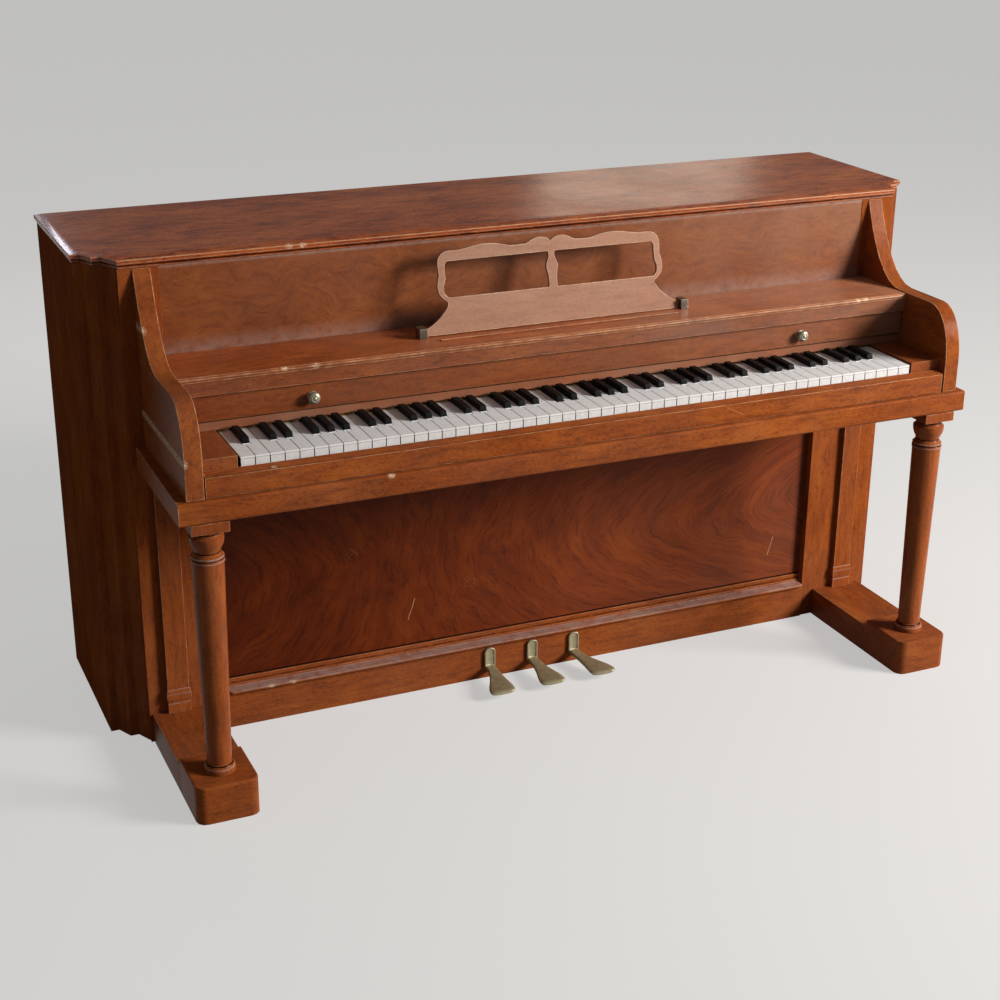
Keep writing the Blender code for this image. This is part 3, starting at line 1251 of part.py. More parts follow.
def lever_row(name, side_view, width, count, axis, bar, radius):
    """A row of like levers on one square bar that turns on round ends."""
    y, z = axis
    reach = ACTION_END - 0.001
    obj = add_part(name, box((-reach, y - bar, z - bar), (reach, y + bar, z + bar)), FELT, (0.0, y, z))
    levers = []
    for k in range(count):
        x = -ACTION_HALF + 2 * ACTION_HALF * (k + 0.5) / NOTE_COUNT
        levers.append(outline([side_view], "X", x - width / 2, x + width / 2))
    join(obj, levers, "levers")
    end = rod((reach - bar, y, z), (ACTION_END + ACTION_END_THICK - 0.001, y, z), radius)
    join(obj, [end, mirrored(end)], "ends")


def hammer_row():
    """Shank and head of each hammer in side view; the head reaches towards the strings."""
    y = HAMMER_Y
    z = HAMMER_Z
    side = [(y - HAMMER_SHANK, z), (y + HAMMER_SHANK, z)]
    side += [(y + back, z + rise) for back, rise in HAMMER_HEAD]
    lever_row("hammer_row", side, HAMMER_WIDTH, NOTE_COUNT, (y, z), HAMMER_BAR, HAMMER_ROD)


def damper_row():
    """Lever and head of each damper in side view; the felt stands close to the strings."""
    y = DAMPER_Y
    z = DAMPER_Z
    felt = STRING_PLANE - DAMPER_CLEAR
    front = y - DAMPER_SHANK
    back = y + DAMPER_SHANK
    side = [(front, z), (back, z), (back, z + DAMPER_FELT[0]), (felt, z + DAMPER_FELT[1]),
            (felt, z + DAMPER_FELT[2]), (front, z + DAMPER_FELT[3])]
    lever_row("damper_row", side, DAMPER_WIDTH, DAMPER_COUNT, (y, z), DAMPER_BAR, DAMPER_ROD)


case_sides()
front_stiles()
lid()
lid_hinge()
keybed()
key_slip()
cheek_blocks()
arms()
shelf()
fallboard()
fallboard_knobs()
nameboard()
panels()
bottom_rail()
pilasters()
legs()
feet()
keys()
key_frame()
music_desk()
desk_brackets()
pedals()
bottom_board()
trap_levers()
back_frame()
soundboard()
iron_plate()
pin_block()
action_frame()
hammer_row()
damper_row()
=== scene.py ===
"""Looks of the spinet piano: worn figured veneers, keys, brass, and the works under the lid."""
import json
import math

import bmesh
import bpy
import numpy as np
from mathutils import Matrix, Vector

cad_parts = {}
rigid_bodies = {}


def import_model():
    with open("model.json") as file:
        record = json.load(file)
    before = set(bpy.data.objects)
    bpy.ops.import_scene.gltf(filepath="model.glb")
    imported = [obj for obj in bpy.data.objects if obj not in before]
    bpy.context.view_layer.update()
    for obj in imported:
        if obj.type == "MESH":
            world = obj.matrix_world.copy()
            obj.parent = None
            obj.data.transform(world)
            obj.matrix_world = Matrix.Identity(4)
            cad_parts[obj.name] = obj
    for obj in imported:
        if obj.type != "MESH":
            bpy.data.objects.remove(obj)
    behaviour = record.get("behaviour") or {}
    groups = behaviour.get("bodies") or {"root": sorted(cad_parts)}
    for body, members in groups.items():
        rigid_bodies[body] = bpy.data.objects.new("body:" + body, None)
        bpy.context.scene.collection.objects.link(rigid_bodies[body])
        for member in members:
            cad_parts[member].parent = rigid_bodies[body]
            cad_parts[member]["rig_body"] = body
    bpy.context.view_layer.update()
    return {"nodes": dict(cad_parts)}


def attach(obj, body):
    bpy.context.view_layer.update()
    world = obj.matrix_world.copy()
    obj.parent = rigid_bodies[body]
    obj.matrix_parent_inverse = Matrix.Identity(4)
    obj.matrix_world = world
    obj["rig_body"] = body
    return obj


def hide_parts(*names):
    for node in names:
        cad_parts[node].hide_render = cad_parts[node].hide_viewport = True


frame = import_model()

NODES = frame["nodes"]

# Camera of the photograph, fitted to the keys, case and feet
CAMERA_PLACE = (-1.2613, -2.73205, 1.5216)
CAMERA_AZIMUTH = 23.8735
CAMERA_ELEVATION = -21.6978
CAMERA_ROLL = 0.4373
CAMERA_LENS = 63.38
SENSOR = 36.0

# Places that the CAD model also has, in metres; depths count from behind the key fronts
DEPTH_SHIFT = -0.29135
WHITE_TOP = 0.5953
BLACK_TOP = 0.6045
SHELF_TOP = 0.692
CASE_TOP = 0.8375
STRING_DEPTH = 0.500
PLATE_DEPTH = 0.508
BRIDGE_DEPTH = 0.526
CASE_BACK = 0.624
HINGE_HALF = 0.6998
NOTE_HALF = 0.600
NOTES = 88
NAMEBOARD_Y = 0.122 + DEPTH_SHIFT
HEAD_LINE = WHITE_TOP - 0.0030
KEY_PITCH = 0.0235
LEG_GROOVES = (0.4818, 0.4500, 0.4395, 0.0812)
LEG_RIMS = (0.4425, 0.4355, 0.0760)

# Colours as linear values
MAHOGANY_DARK = (0.115, 0.0195, 0.0020)
MAHOGANY_MID = (0.260, 0.0530, 0.0040)
MAHOGANY_LIGHT = (0.420, 0.1120, 0.0120)
BOARD_DARK = (0.100, 0.0170, 0.0030)
BOARD_MID = (0.215, 0.0460, 0.0065)
BOARD_LIGHT = (0.330, 0.0880, 0.0150)
LID_DARK = (0.150, 0.0160, 0.0030)
LID_MID = (0.400, 0.0760, 0.0100)
LID_LIGHT = (0.560, 0.1450, 0.0280)
PANEL_DARK = (0.058, 0.0085, 0.0015)
PANEL_MID = (0.168, 0.0270, 0.0030)
PANEL_LIGHT = (0.270, 0.0560, 0.0065)
UPPER_DARK = (0.105, 0.0200, 0.0060)
UPPER_MID = (0.215, 0.0530, 0.0100)
UPPER_LIGHT = (0.330, 0.1000, 0.0220)
WORN_TAN = (0.56, 0.31, 0.17)
RUBBED = (0.46, 0.27, 0.15)
BARE_WOOD = (0.74, 0.52, 0.35)
DESK_RIM = (0.74, 0.50, 0.35)
# Lilac lines of dust and painted sheen of the cool light; on the leg rims, painted highlights
LILAC_DUST_AND_SHEEN = (0.38, 0.29, 0.27)
# Pale tone for the lines at the pilaster's base rings
RING_PALE = (0.30, 0.21, 0.19)
DESK_DARK = (0.27, 0.120, 0.072)
DESK_MID = (0.40, 0.200, 0.130)
DESK_LIGHT = (0.52, 0.300, 0.205)
BEECH_DARK = (0.36, 0.23, 0.12)
BEECH_MID = (0.48, 0.33, 0.18)
BEECH_LIGHT = (0.58, 0.42, 0.25)
SPRUCE_DARK = (0.50, 0.34, 0.16)
SPRUCE_MID = (0.62, 0.45, 0.24)
SPRUCE_LIGHT = (0.72, 0.55, 0.33)
# Cloudy varnish, also painted sheen of the key light towards the treble end
DUST_HAZE_AND_SHEEN = (0.37, 0.27, 0.215)


def colour4(rgb):
    return (rgb[0], rgb[1], rgb[2], 1.0)


class Finish:
    """A node material built by small steps; every step returns the socket that it makes."""

    def __init__(self, name):
        self.material = bpy.data.materials.new(name)
        self.material.use_nodes = True
        self.tree = self.material.node_tree
        self.shader = self.tree.nodes["Principled BSDF"]
        self.coords = self.tree.nodes.new("ShaderNodeTexCoord").outputs["Object"]

    def feed(self, socket, value):
        if isinstance(value, bpy.types.NodeSocket):
            self.tree.links.new(value, socket)
        elif isinstance(value, tuple) and len(value) == 3 and socket.type == "RGBA":
            socket.default_value = colour4(value)
        else:
            socket.default_value = value

    def node(self, kind, inputs, **settings):
        made = self.tree.nodes.new(kind)
        for key, value in settings.items():
            setattr(made, key, value)
        for key, value in inputs.items():
            self.feed(made.inputs[key], value)
        return made

    def scaled(self, vector, scale, offset=(0.0, 0.0, 0.0)):
        return self.node("ShaderNodeMapping", {"Vector": vector, "Scale": scale, "Location": offset}).outputs[0]

    def noise(self, vector, scale, detail=3.0, roughness=0.55, distortion=0.0):
        made = self.node("ShaderNodeTexNoise", {"Vector": vector, "Scale": scale, "Detail": detail,
                                                "Roughness": roughness, "Distortion": distortion})
        return made.outputs[0]

    def warped(self, vector, scale, amount):
        """Pushes the coordinates about by a soft noise, up to half the amount each way."""
        push = self.node("ShaderNodeTexNoise", {"Vector": vector, "Scale": scale, "Detail": 2.0})
        centred = self.node("ShaderNodeVectorMath", {0: push.outputs["Color"], 1: (0.5, 0.5, 0.5)},
                            operation="SUBTRACT").outputs[0]
        sized = self.node("ShaderNodeVectorMath", {0: centred, "Scale": amount}, operation="SCALE").outputs[0]
        return self.node("ShaderNodeVectorMath", {0: vector, 1: sized}, operation="ADD").outputs[0]

    def math(self, operation, a, b=0.0, clamp=False):
        return self.node("ShaderNodeMath", {0: a, 1: b}, operation=operation, use_clamp=clamp).outputs[0]

    def spread(self, value, low, high, to_low=0.0, to_high=1.0):
        made = self.node("ShaderNodeMapRange", {"Value": value, "From Min": low, "From Max": high,
                                                "To Min": to_low, "To Max": to_high})
        return made.outputs[0]

    def mix(self, factor, a, b, blend="MIX"):
        made = self.tree.nodes.new("ShaderNodeMix")
        made.data_type = "RGBA"
        made.blend_type = blend
        self.feed(made.inputs[0], factor)
        self.feed(made.inputs[6], a)
        self.feed(made.inputs[7], b)
        return made.outputs[2]

    def ramp(self, value, stops):
        made = self.node("ShaderNodeValToRGB", {"Fac": value})
        elements = made.color_ramp.elements
        while len(elements) < len(stops):
            elements.new(0.5)
        for element, (position, rgb) in zip(elements, stops):
            element.position = position
            element.color = colour4(rgb)
        return made.outputs[0]

    def axes(self, vector=None):
        split = self.node("ShaderNodeSeparateXYZ", {0: vector or self.coords})
        return split.outputs["X"], split.outputs["Y"], split.outputs["Z"]

    def joined(self, x, y, z=0.0):
        return self.node("ShaderNodeCombineXYZ", {"X": x, "Y": y, "Z": z}).outputs[0]

    def rub(self):
        """One on the eased edges of a piece, nought on its faces."""
        return self.node("ShaderNodeAttribute", {}, attribute_name="eased_edge").outputs["Fac"]

    def edge(self, radius, low=0.03, high=0.30):
        """Nought on flat faces, rising to one near outer edges, where the rounded normal leans away."""
        rounded = self.node("ShaderNodeBevel", {"Radius": radius}, samples=4)
        plain = self.tree.nodes.new("ShaderNodeNewGeometry")
        dot = self.node("ShaderNodeVectorMath", {0: rounded.outputs[0], 1: plain.outputs["Normal"]},
                        operation="DOT_PRODUCT")
        return self.spread(self.math("SUBTRACT", 1.0, dot.outputs["Value"]), low, high)

    def upward(self):
        plain = self.tree.nodes.new("ShaderNodeNewGeometry")
        return self.axes(plain.outputs["Normal"])[2]

    def bump(self, height, strength, distance=0.0005):
        made = self.node("ShaderNodeBump", {"Height": height, "Strength": strength, "Distance": distance})
        self.feed(self.shader.inputs["Normal"], made.outputs[0])

    def surface(self, colour, roughness, metallic=0.0, specular=0.5):
        self.feed(self.shader.inputs["Base Color"], colour)
        self.feed(self.shader.inputs["Roughness"], roughness)
        self.shader.inputs["Metallic"].default_value = metallic
        self.shader.inputs["Specular IOR Level"].default_value = specular


ALONG = {"X": (0.16, 1.0, 1.0), "Y": (1.0, 0.16, 1.0), "Z": (1.0, 1.0, 0.16)}
FLECK = {"X": (0.34, 1.0, 1.0), "Y": (1.0, 0.34, 1.0), "Z": (1.0, 1.0, 0.34)}
CLOUD = {"X": (0.45, 1.0, 1.0), "Y": (1.0, 0.45, 1.0), "Z": (1.0, 1.0, 0.45)}


def straight_grain(f, base, grain, swirl):
    """Streaks and flecks that run along the board, bent a little by a soft warp."""
    bent = f.warped(base, 7.0, 0.06 * swirl)
    clouds = f.noise(f.scaled(bent, CLOUD[grain]), 17.0, 3.0, 0.55, 0.3)
    streaks = f.noise(f.scaled(bent, ALONG[grain]), 125.0, 3.0, 0.6, 0.3)
    flecks = f.noise(f.scaled(bent, FLECK[grain]), 480.0, 2.0, 0.55)
    return clouds, streaks, flecks


def feather_figure(f, base):
    """Feathered crotch veneer on the bottom panel.

    Every stroke leaves a level middle line and follows run = start + slope * height ** 1.3. The slope grows
    from left to right, so the strokes lean left at one end, stand in between and lie flat at the other end.
    A noise that is stretched along these strokes gives their dark and light.
    """
    x, _, z = f.axes(f.warped(f.warped(base, 3.0, 0.08), 16.0, 0.034))
    rise = f.math("SUBTRACT", z, 0.255)
    height = f.math("SQRT", f.math("ADD", f.math("MULTIPLY", rise, rise), 0.0004))
    slope = f.spread(x, -0.55, 0.45, -1.4, 3.2)
    start = f.math("SUBTRACT", x, f.math("MULTIPLY", slope, f.math("POWER", height, 1.3)))
    clouds = f.noise(f.joined(start, f.math("MULTIPLY", rise, 0.5)), 19.0, 3.0, 0.55, 0.3)
    streaks = f.noise(f.joined(start, f.math("MULTIPLY", rise, 0.19)), 125.0, 5.0, 0.66, 0.6)
    flecks = f.noise(f.joined(start, f.math("MULTIPLY", rise, 0.34)), 480.0, 2.0, 0.55)
    return clouds, streaks, flecks


def scratch(f, start, end, width):
    """One along a straight scratch between two (x, z) points, nought away from it."""
    x, _, z = f.axes(f.warped(f.coords, 60.0, 0.004))
    run, climb = end[0] - start[0], end[1] - start[1]
    length = math.hypot(run, climb)
    dx = f.math("SUBTRACT", x, start[0])
    dz = f.math("SUBTRACT", z, start[1])
    along = f.math("ADD", f.math("MULTIPLY", dx, run / length), f.math("MULTIPLY", dz, climb / length))
    aside = f.math("ABSOLUTE", f.math("SUBTRACT", f.math("MULTIPLY", dx, climb / length),
                                      f.math("MULTIPLY", dz, run / length)))
    inside = f.math("LESS_THAN", f.math("ABSOLUTE", f.math("SUBTRACT", along, length / 2.0)), length / 2.0)
    return f.math("MULTIPLY", inside, f.spread(aside, width, width * 0.4))


def specks(f, centre, radius, often=0.62):
    """Small light chips of varnish scattered round a point; an axis that is given as None doesn't count."""
    counted = tuple(0.0 if c is None else 1.0 for c in centre)
    place = tuple(c or 0.0 for c in centre)
    away = f.node("ShaderNodeVectorMath", {0: f.scaled(f.coords, counted), 1: place}, operation="DISTANCE")
    dots = f.spread(f.noise(f.coords, 520.0, 2.0, 0.5), often, often + 0.05)
    return f.math("MULTIPLY", dots, f.spread(away.outputs["Value"], radius, radius * 0.4))


def line(f, axis, place, half, soften=0.5):
    """One along a line at a place on an axis, nought beyond its half width."""
    away = f.math("ABSOLUTE", f.math("SUBTRACT", f.axes()[axis], place))
    return f.spread(away, half, half * soften if half < 0.003 else 0.0)


PANEL_SCRATCHES = (((-0.2302, 0.1789), (-0.2442, 0.1375)), ((0.5251, 0.1773), (0.5142, 0.1384)))
PANEL_SPECKS = ((-0.3477, None, 0.2872), (-0.1223, None, 0.1897), (0.4136, None, 0.2873))
# Near-black painted shade for the joins between parts and for grooves
SHADE_LINE_BLACK = (0.0050, 0.0030, 0.0024)


def veneer(name, grain, tones, streak=1.0, mottle=1.0, swirl=0.5, wear=0.8, haze=0.1, gloss=0.33,
           seed=0.0, figure=None, specular=0.18, chips=(), marks=None, shade_lines=(), lines=(), painted_sheen=0.0, shade_falloff=None, lit_tops=0.0, edge_tone=WORN_TAN):
    """Figured veneer under old varnish: clouds, streaks, dark flecks, hazy patches and worn edges.

    Shade lines are near-black painted shade in the joins between parts and in grooves; lines are coloured, each at
    a place on an axis, and among them are worn lines, dust, painted sheen, painted highlights and painted shade.
    Painted sheen is sheen of the key light, painted in the colour of cloudy varnish, that grows towards the treble
    end; shade falloff gives two places along the piece between which painted shade fades out from the bass end;
    lit tops paints the faces that look up lighter, as light from above.
    """
    f = Finish(name)
    base = f.scaled(f.coords, (1.0, 1.0, 1.0), (seed, seed * 0.7, -seed))
    clouds, streaks, flecks = figure(f, f.coords) if figure else straight_grain(f, base, grain, swirl)
    share = 0.66 if figure else 0.58
    tone = f.math("ADD", f.math("MULTIPLY", clouds, share), f.math("MULTIPLY", streaks, 1.0 - share))
    tone = f.spread(tone, 0.5 - 0.30 / streak, 0.5 + 0.30 / streak)
    dark, mid, light = tones
    wood = f.ramp(tone, [(0.04, dark), (0.50, mid), (0.96, light)])
    deep = 0.40 if figure else 0.28
    strokes = f.spread(streaks, 0.36, 0.47, deep * streak, 0.0)
    wood = f.mix(strokes, wood, tuple(0.8 * c for c in dark))
    pits = f.spread(flecks, 0.53, 0.70, 0.0, 0.60 * mottle)
    wood = f.mix(pits, wood, (0.30, 0.22, 0.20), "MULTIPLY")
    glints = f.spread(flecks, 0.30, 0.42, 0.30 * mottle, 0.0)
    wood = f.mix(glints, wood, light)
    # Cloudy varnish in patches, with painted sheen of the key light that grows towards the treble end
    if haze or painted_sheen:
        cloudy = f.spread(f.noise(base, 4.0, 4.0, 0.6), 0.36, 0.66, 0.0, 1.0)
        haze_and_sheen = f.spread(f.axes()[0], -0.45, 0.65, haze, haze + painted_sheen)
        wood = f.mix(f.math("MULTIPLY", f.spread(cloudy, 0.0, 1.0, 0.45, 1.0), haze_and_sheen), wood, DUST_HAZE_AND_SHEEN)
    # Painted light: faces that look up are made lighter, as lit from above
    if lit_tops:
        wood = f.mix(f.spread(f.upward(), 0.6, 0.9, 0.0, lit_tops), wood, (1.75, 1.60, 1.40), "MULTIPLY")
    # Painted shade: darkest at the bass end, fading out along the piece
    if shade_falloff:
        wood = f.mix(f.spread(f.axes()[0], shade_falloff[0], shade_falloff[1], shade_falloff[2], 0.0), wood, (0.34, 0.27, 0.25), "MULTIPLY")
    broken = f.noise(base, 60.0, 5.0, 0.7)
    worn = f.math("MULTIPLY", f.rub(), f.math("MULTIPLY", f.spread(broken, 0.42, 0.60, 0.30, 1.0), wear))
    # Coloured lines: worn lines, dust, painted sheen, painted highlights and painted shade, as the pieces ask
    for axis, place, half, colour, share in lines:
        drawn = f.math("MULTIPLY", line(f, axis, place, half), f.spread(broken, 0.36, 0.56, share * 0.35, share))
        wood = f.mix(drawn, wood, colour)
    # Painted shade: near-black lines in the joins between parts and in grooves
    for axis, place, half in shade_lines:
        wood = f.mix(f.math("MULTIPLY", line(f, axis, place, half, 0.7), 0.94), wood, SHADE_LINE_BLACK)
    if marks:
        worn = f.math("MAXIMUM", worn, marks(f))
    wood = f.mix(worn, wood, edge_tone)
    for centre in chips:
        wood = f.mix(specks(f, centre, 0.0080, 0.46), wood, BARE_WOOD)
    smear = f.noise(base, 8.0, 4.0, 0.6)
    rough = f.math("ADD", f.spread(smear, 0.3, 0.7, gloss - 0.02, gloss + 0.05), f.math("MULTIPLY", worn, 0.15))
    f.surface(wood, rough, specular=specular)
    f.bump(f.math("ADD", flecks, f.math("MULTIPLY", streaks, 0.6)), 0.22, 0.0004)
    return f.material


def panel_marks(f):
    """The two scratches and three groups of chips that the bottom panel carries."""
    total = 0.0
    for start, end in PANEL_SCRATCHES:
        total = f.math("MAXIMUM", total, scratch(f, start, end, 0.0009))
    for centre in PANEL_SPECKS:
        total = f.math("MAXIMUM", total, specks(f, centre, 0.017, 0.645))
    return f.math("MULTIPLY", total, 0.75)


def slip_marks(f):
    """The slanting scratch on the right half of the key slip."""
    return f.math("MULTIPLY", scratch(f, (0.2300, 0.5700), (0.2620, 0.5540), 0.0008), 0.40)


MAHOGANY = (MAHOGANY_DARK, MAHOGANY_MID, MAHOGANY_LIGHT)
BOARD = (BOARD_DARK, BOARD_MID, BOARD_LIGHT)
LID = (LID_DARK, LID_MID, LID_LIGHT)
UPPER = (UPPER_DARK, UPPER_MID, UPPER_LIGHT)
PANEL = (PANEL_DARK, PANEL_MID, PANEL_LIGHT)
DESK = (DESK_DARK, DESK_MID, DESK_LIGHT)
BEECH = (BEECH_DARK, BEECH_MID, BEECH_LIGHT)
SPRUCE = (SPRUCE_DARK, SPRUCE_MID, SPRUCE_LIGHT)


def brass(name, tone, dull, stain=0.45, metallic=0.85, rub_and_highlight=0.8):
    """Old brass: uneven tarnish, brighter on the edges: worn where hands and shoes rub, and a painted highlight along
    all outer edges.
    """
    f = Finish(name)
    stains = f.spread(f.noise(f.coords, 110.0, 6.0, 0.65), 0.38, 0.70)
    metal = f.mix(stains, tone, tuple(c * stain for c in tone))
    # Brighter edges: wear on the eased edges and a painted highlight along all outer edges
    rubbed_and_highlit = f.math("ADD", f.math("MULTIPLY", f.edge(0.0018, 0.02, 0.25), 0.5), f.rub(), True)
    metal = f.mix(f.math("MULTIPLY", rubbed_and_highlit, rub_and_highlight), metal, tuple(min(1.0, c * 1.5) for c in tone))
    f.surface(metal, f.spread(stains, 0.0, 1.0, dull - 0.06, dull + 0.16), metallic)
    f.bump(f.noise(f.coords, 300.0, 4.0, 0.6), 0.06, 0.0003)
    return f.material


def key_wood(f):
    return f.mix(f.noise(f.scaled(f.coords, (60.0, 4.0, 60.0)), 1.0, 4.0), BEECH_MID, BEECH_LIGHT)


def sharp_black(f, haze):
    return f.mix(f.spread(haze, 0.4, 0.7, 0.0, 0.5), (0.0055, 0.0060, 0.0068), (0.013, 0.0140, 0.0150))


def key_plastic():
    """Naturals and sharps in one: white below the tops of the naturals, black above them."""
    f = Finish("key_plastic")
    x, y, z = f.axes()
    haze = f.noise(f.coords, 40.0, 5.0, 0.6)
    grime = f.noise(f.scaled(f.coords, (1.0, 0.5, 1.0)), 140.0, 4.0, 0.65)
    white = f.mix(f.spread(haze, 0.38, 0.68, 0.0, 0.4), (0.80, 0.815, 0.845), (0.75, 0.76, 0.775))
    beside = f.math("PINGPONG", f.math("ADD", x, 26.0 * KEY_PITCH), KEY_PITCH / 2.0)
    front = f.spread(z, HEAD_LINE + 0.0002, HEAD_LINE, 0.0, 1.0)
    dirty = f.math("MULTIPLY", front, f.spread(grime, 0.30, 0.75, 0.15, 0.60))
    white = f.mix(dirty, white, (0.48, 0.48, 0.48))
    # Painted shade: dark lines between neighbouring keys, faint on the tops and full on the fronts
    join_shade = f.math("ADD", f.spread(beside, 0.0007, 0.0003, 0.0, 0.55), f.math("MULTIPLY", front, f.spread(beside, 0.0010, 0.0006)), True)
    white = f.mix(join_shade, white, (0.06, 0.055, 0.05))
    # Painted shade: a dark line under the overhanging lip of each key's head
    under_lip_shade = f.math("MULTIPLY", front, f.spread(z, HEAD_LINE - 0.0012, HEAD_LINE - 0.0004, 0.0, 0.60))
    white = f.mix(under_lip_shade, white, (0.12, 0.11, 0.10))
    white = f.mix(f.math("MULTIPLY", f.rub(), 0.35), white, (0.50, 0.47, 0.42))
    is_black = f.math("GREATER_THAN", z, WHITE_TOP + 0.0003)
    skin = f.mix(is_black, white, sharp_black(f, haze))
    inside = f.math("GREATER_THAN", y, NAMEBOARD_Y)
    rough = f.math("ADD", f.spread(haze, 0.3, 0.7, 0.24, 0.30), f.math("MULTIPLY", is_black, 0.22))
    f.surface(f.mix(inside, skin, key_wood(f)), rough, specular=0.10)
    f.bump(haze, 0.03, 0.0002)
    return f.material


def sharp_plastic():
    f = Finish("sharp_plastic")
    haze = f.noise(f.coords, 40.0, 5.0, 0.6)
    inside = f.math("GREATER_THAN", f.axes()[1], NAMEBOARD_Y)
    f.surface(f.mix(inside, sharp_black(f, haze), key_wood(f)), f.spread(haze, 0.3, 0.7, 0.46, 0.54), specular=0.08)
    f.bump(haze, 0.03, 0.0002)
    return f.material


def cast_iron():
    f = Finish("bronzed_iron")
    sand = f.noise(f.coords, 320.0, 5.0, 0.6)
    tone = f.mix(f.noise(f.coords, 8.0, 4.0), (0.44, 0.31, 0.12), (0.56, 0.42, 0.19))
    f.surface(tone, f.spread(sand, 0.3, 0.7, 0.38, 0.55), 0.6)
    f.bump(sand, 0.25, 0.0005)
    return f.material


def felt_heads(name, top):
    """Pale wooden levers whose heads above a height are white felt."""
    f = Finish(name)
    fuzz = f.noise(f.coords, 900.0, 3.0, 0.7)
    wool = f.mix(fuzz, (0.66, 0.63, 0.55), (0.78, 0.76, 0.70))
    grain = f.noise(f.scaled(f.coords, (300.0, 300.0, 30.0)), 1.0, 3.0)
    wood = f.mix(grain, BEECH_MID, BEECH_LIGHT)
    head = f.math("GREATER_THAN", f.axes()[2], top)
    f.surface(f.mix(head, wood, wool), f.spread(head, 0.0, 1.0, 0.55, 0.95))
    f.bump(fuzz, 0.4, 0.0006)
    return f.material


def steel(name, tone, rough):
    f = Finish(name)
    marks = f.noise(f.scaled(f.coords, (1.0, 1.0, 0.2)), 500.0, 3.0, 0.6)
    f.surface(f.mix(marks, tone, tuple(c * 0.6 for c in tone)), f.spread(marks, 0.3, 0.7, rough, rough + 0.15), 1.0)
    f.bump(marks, 0.1, 0.0002)
    return f.material


def both(*names):
    return [name + side for name in names for side in ("_left", "_right")]


def dress(material, *names):
    for name in names:
        node = NODES[name]
        node.data.materials.clear()
        node.data.materials.append(material)


def add_piece(name, mesh, material, body, stands_for=None):
    """Puts a finished mesh, already in its place, into the scene and on its body."""
    mesh.materials.clear()
    mesh.materials.append(material)
    piece = bpy.data.objects.new(name, mesh)
    bpy.context.scene.collection.objects.link(piece)
    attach(piece, body)
    if stands_for:
        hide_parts(stands_for)
    return piece


def ease_edges(bm, edges, width, segments):
    """Rounds the chosen edges and marks the new narrow faces as eased."""
    layer = bm.faces.layers.float.get("eased_edge") or bm.faces.layers.float.new("eased_edge")
    made = bmesh.ops.bevel(bm, geom=edges, offset=width, offset_type="OFFSET", segments=segments, profile=0.5,
                           affect="EDGES", clamp_overlap=False)
    for face in made["faces"]:
        face[layer] = 1.0


def eased(material, names, width=0.0010, angle=50.0, soft=40.0, segments=2, shortest=4.0, choose=None):
    """A copy of a CAD piece with its loose triangles joined, its outer edges rounded and soft shading."""
    for name in names:
        source = NODES[name]
        bm = bmesh.new()
        bm.from_mesh(source.data)
        bmesh.ops.remove_doubles(bm, verts=bm.verts, dist=0.000002)
        bmesh.ops.dissolve_limit(bm, angle_limit=math.radians(0.5), verts=bm.verts, edges=bm.edges)
        bm.faces.layers.float.new("eased_edge")
        if width:
            edges = []
            for edge in bm.edges:
                if not edge.is_manifold or not edge.is_convex or edge.calc_length() < shortest * width:
                    continue
                if edge.calc_face_angle() > math.radians(angle) and (choose is None or choose(edge)):
                    edges.append(edge)
            ease_edges(bm, edges, width, segments)
        for face in bm.faces:
            face.smooth = True
        for edge in bm.edges:
            edge.smooth = not edge.is_manifold or edge.calc_face_angle() < math.radians(soft)
        mesh = bpy.data.meshes.new(name + "_eased")
        bm.to_mesh(mesh)
        bm.free()
        piece = add_piece(name + "_eased", mesh, material, source["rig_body"], name)
        weigh = piece.modifiers.new("flat_faces_stay_flat", "WEIGHTED_NORMAL")
        weigh.keep_sharp = True


def eased_keys(material, names):
    """Keys with slightly rounded tops: a finer edge on the naturals, a broader one on the sharps."""
    for name in names:
        source = NODES[name]
        bm = bmesh.new()
        bm.from_mesh(source.data)
        bmesh.ops.remove_doubles(bm, verts=bm.verts, dist=0.000002)
        bmesh.ops.dissolve_limit(bm, angle_limit=math.radians(0.5), verts=bm.verts, edges=bm.edges)
        for level, width, segments in ((BLACK_TOP, 0.0007, 2), (WHITE_TOP, 0.0003, 1)):
            edges = []
            for edge in bm.edges:
                if not edge.is_manifold or not edge.is_convex or edge.calc_face_angle() < math.radians(50.0):
                    continue
                heights = [vert.co.z for vert in edge.verts]
                on_level = max(heights) > level - 0.00002 if level == BLACK_TOP else (
                    all(abs(h - level) < 0.00002 for h in heights))
                front = min(vert.co.y for vert in edge.verts) < NAMEBOARD_Y
                if on_level and front and edge.calc_length() > 3.0 * width:
                    edges.append(edge)
            ease_edges(bm, edges, width, segments)
        for face in bm.faces:
            face.smooth = True
        for edge in bm.edges:
            edge.smooth = not edge.is_manifold or edge.calc_face_angle() < math.radians(50.0)
        mesh = bpy.data.meshes.new(name + "_eased")
        bm.to_mesh(mesh)
        bm.free()
        piece = add_piece(name + "_eased", mesh, material, source["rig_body"], name)
        weigh = piece.modifiers.new("flat_faces_stay_flat", "WEIGHTED_NORMAL")
        weigh.keep_sharp = True


def grid_mesh(name, points, closed_around=True):
    """A skin over a (rows, columns, 3) array of points; each column runs on to the next one."""
    rows, columns = points.shape[:2]
    index = np.arange(rows * columns).reshape(rows, columns)
    following = np.roll(index, -1, axis=1)
    if not closed_around:
        index, following = index[:, :-1], index[:, 1:]
    quads = np.stack([index[:-1], following[:-1], following[1:], index[1:]], axis=-1).reshape(-1, 4)
    return quads, points.reshape(-1, 3)


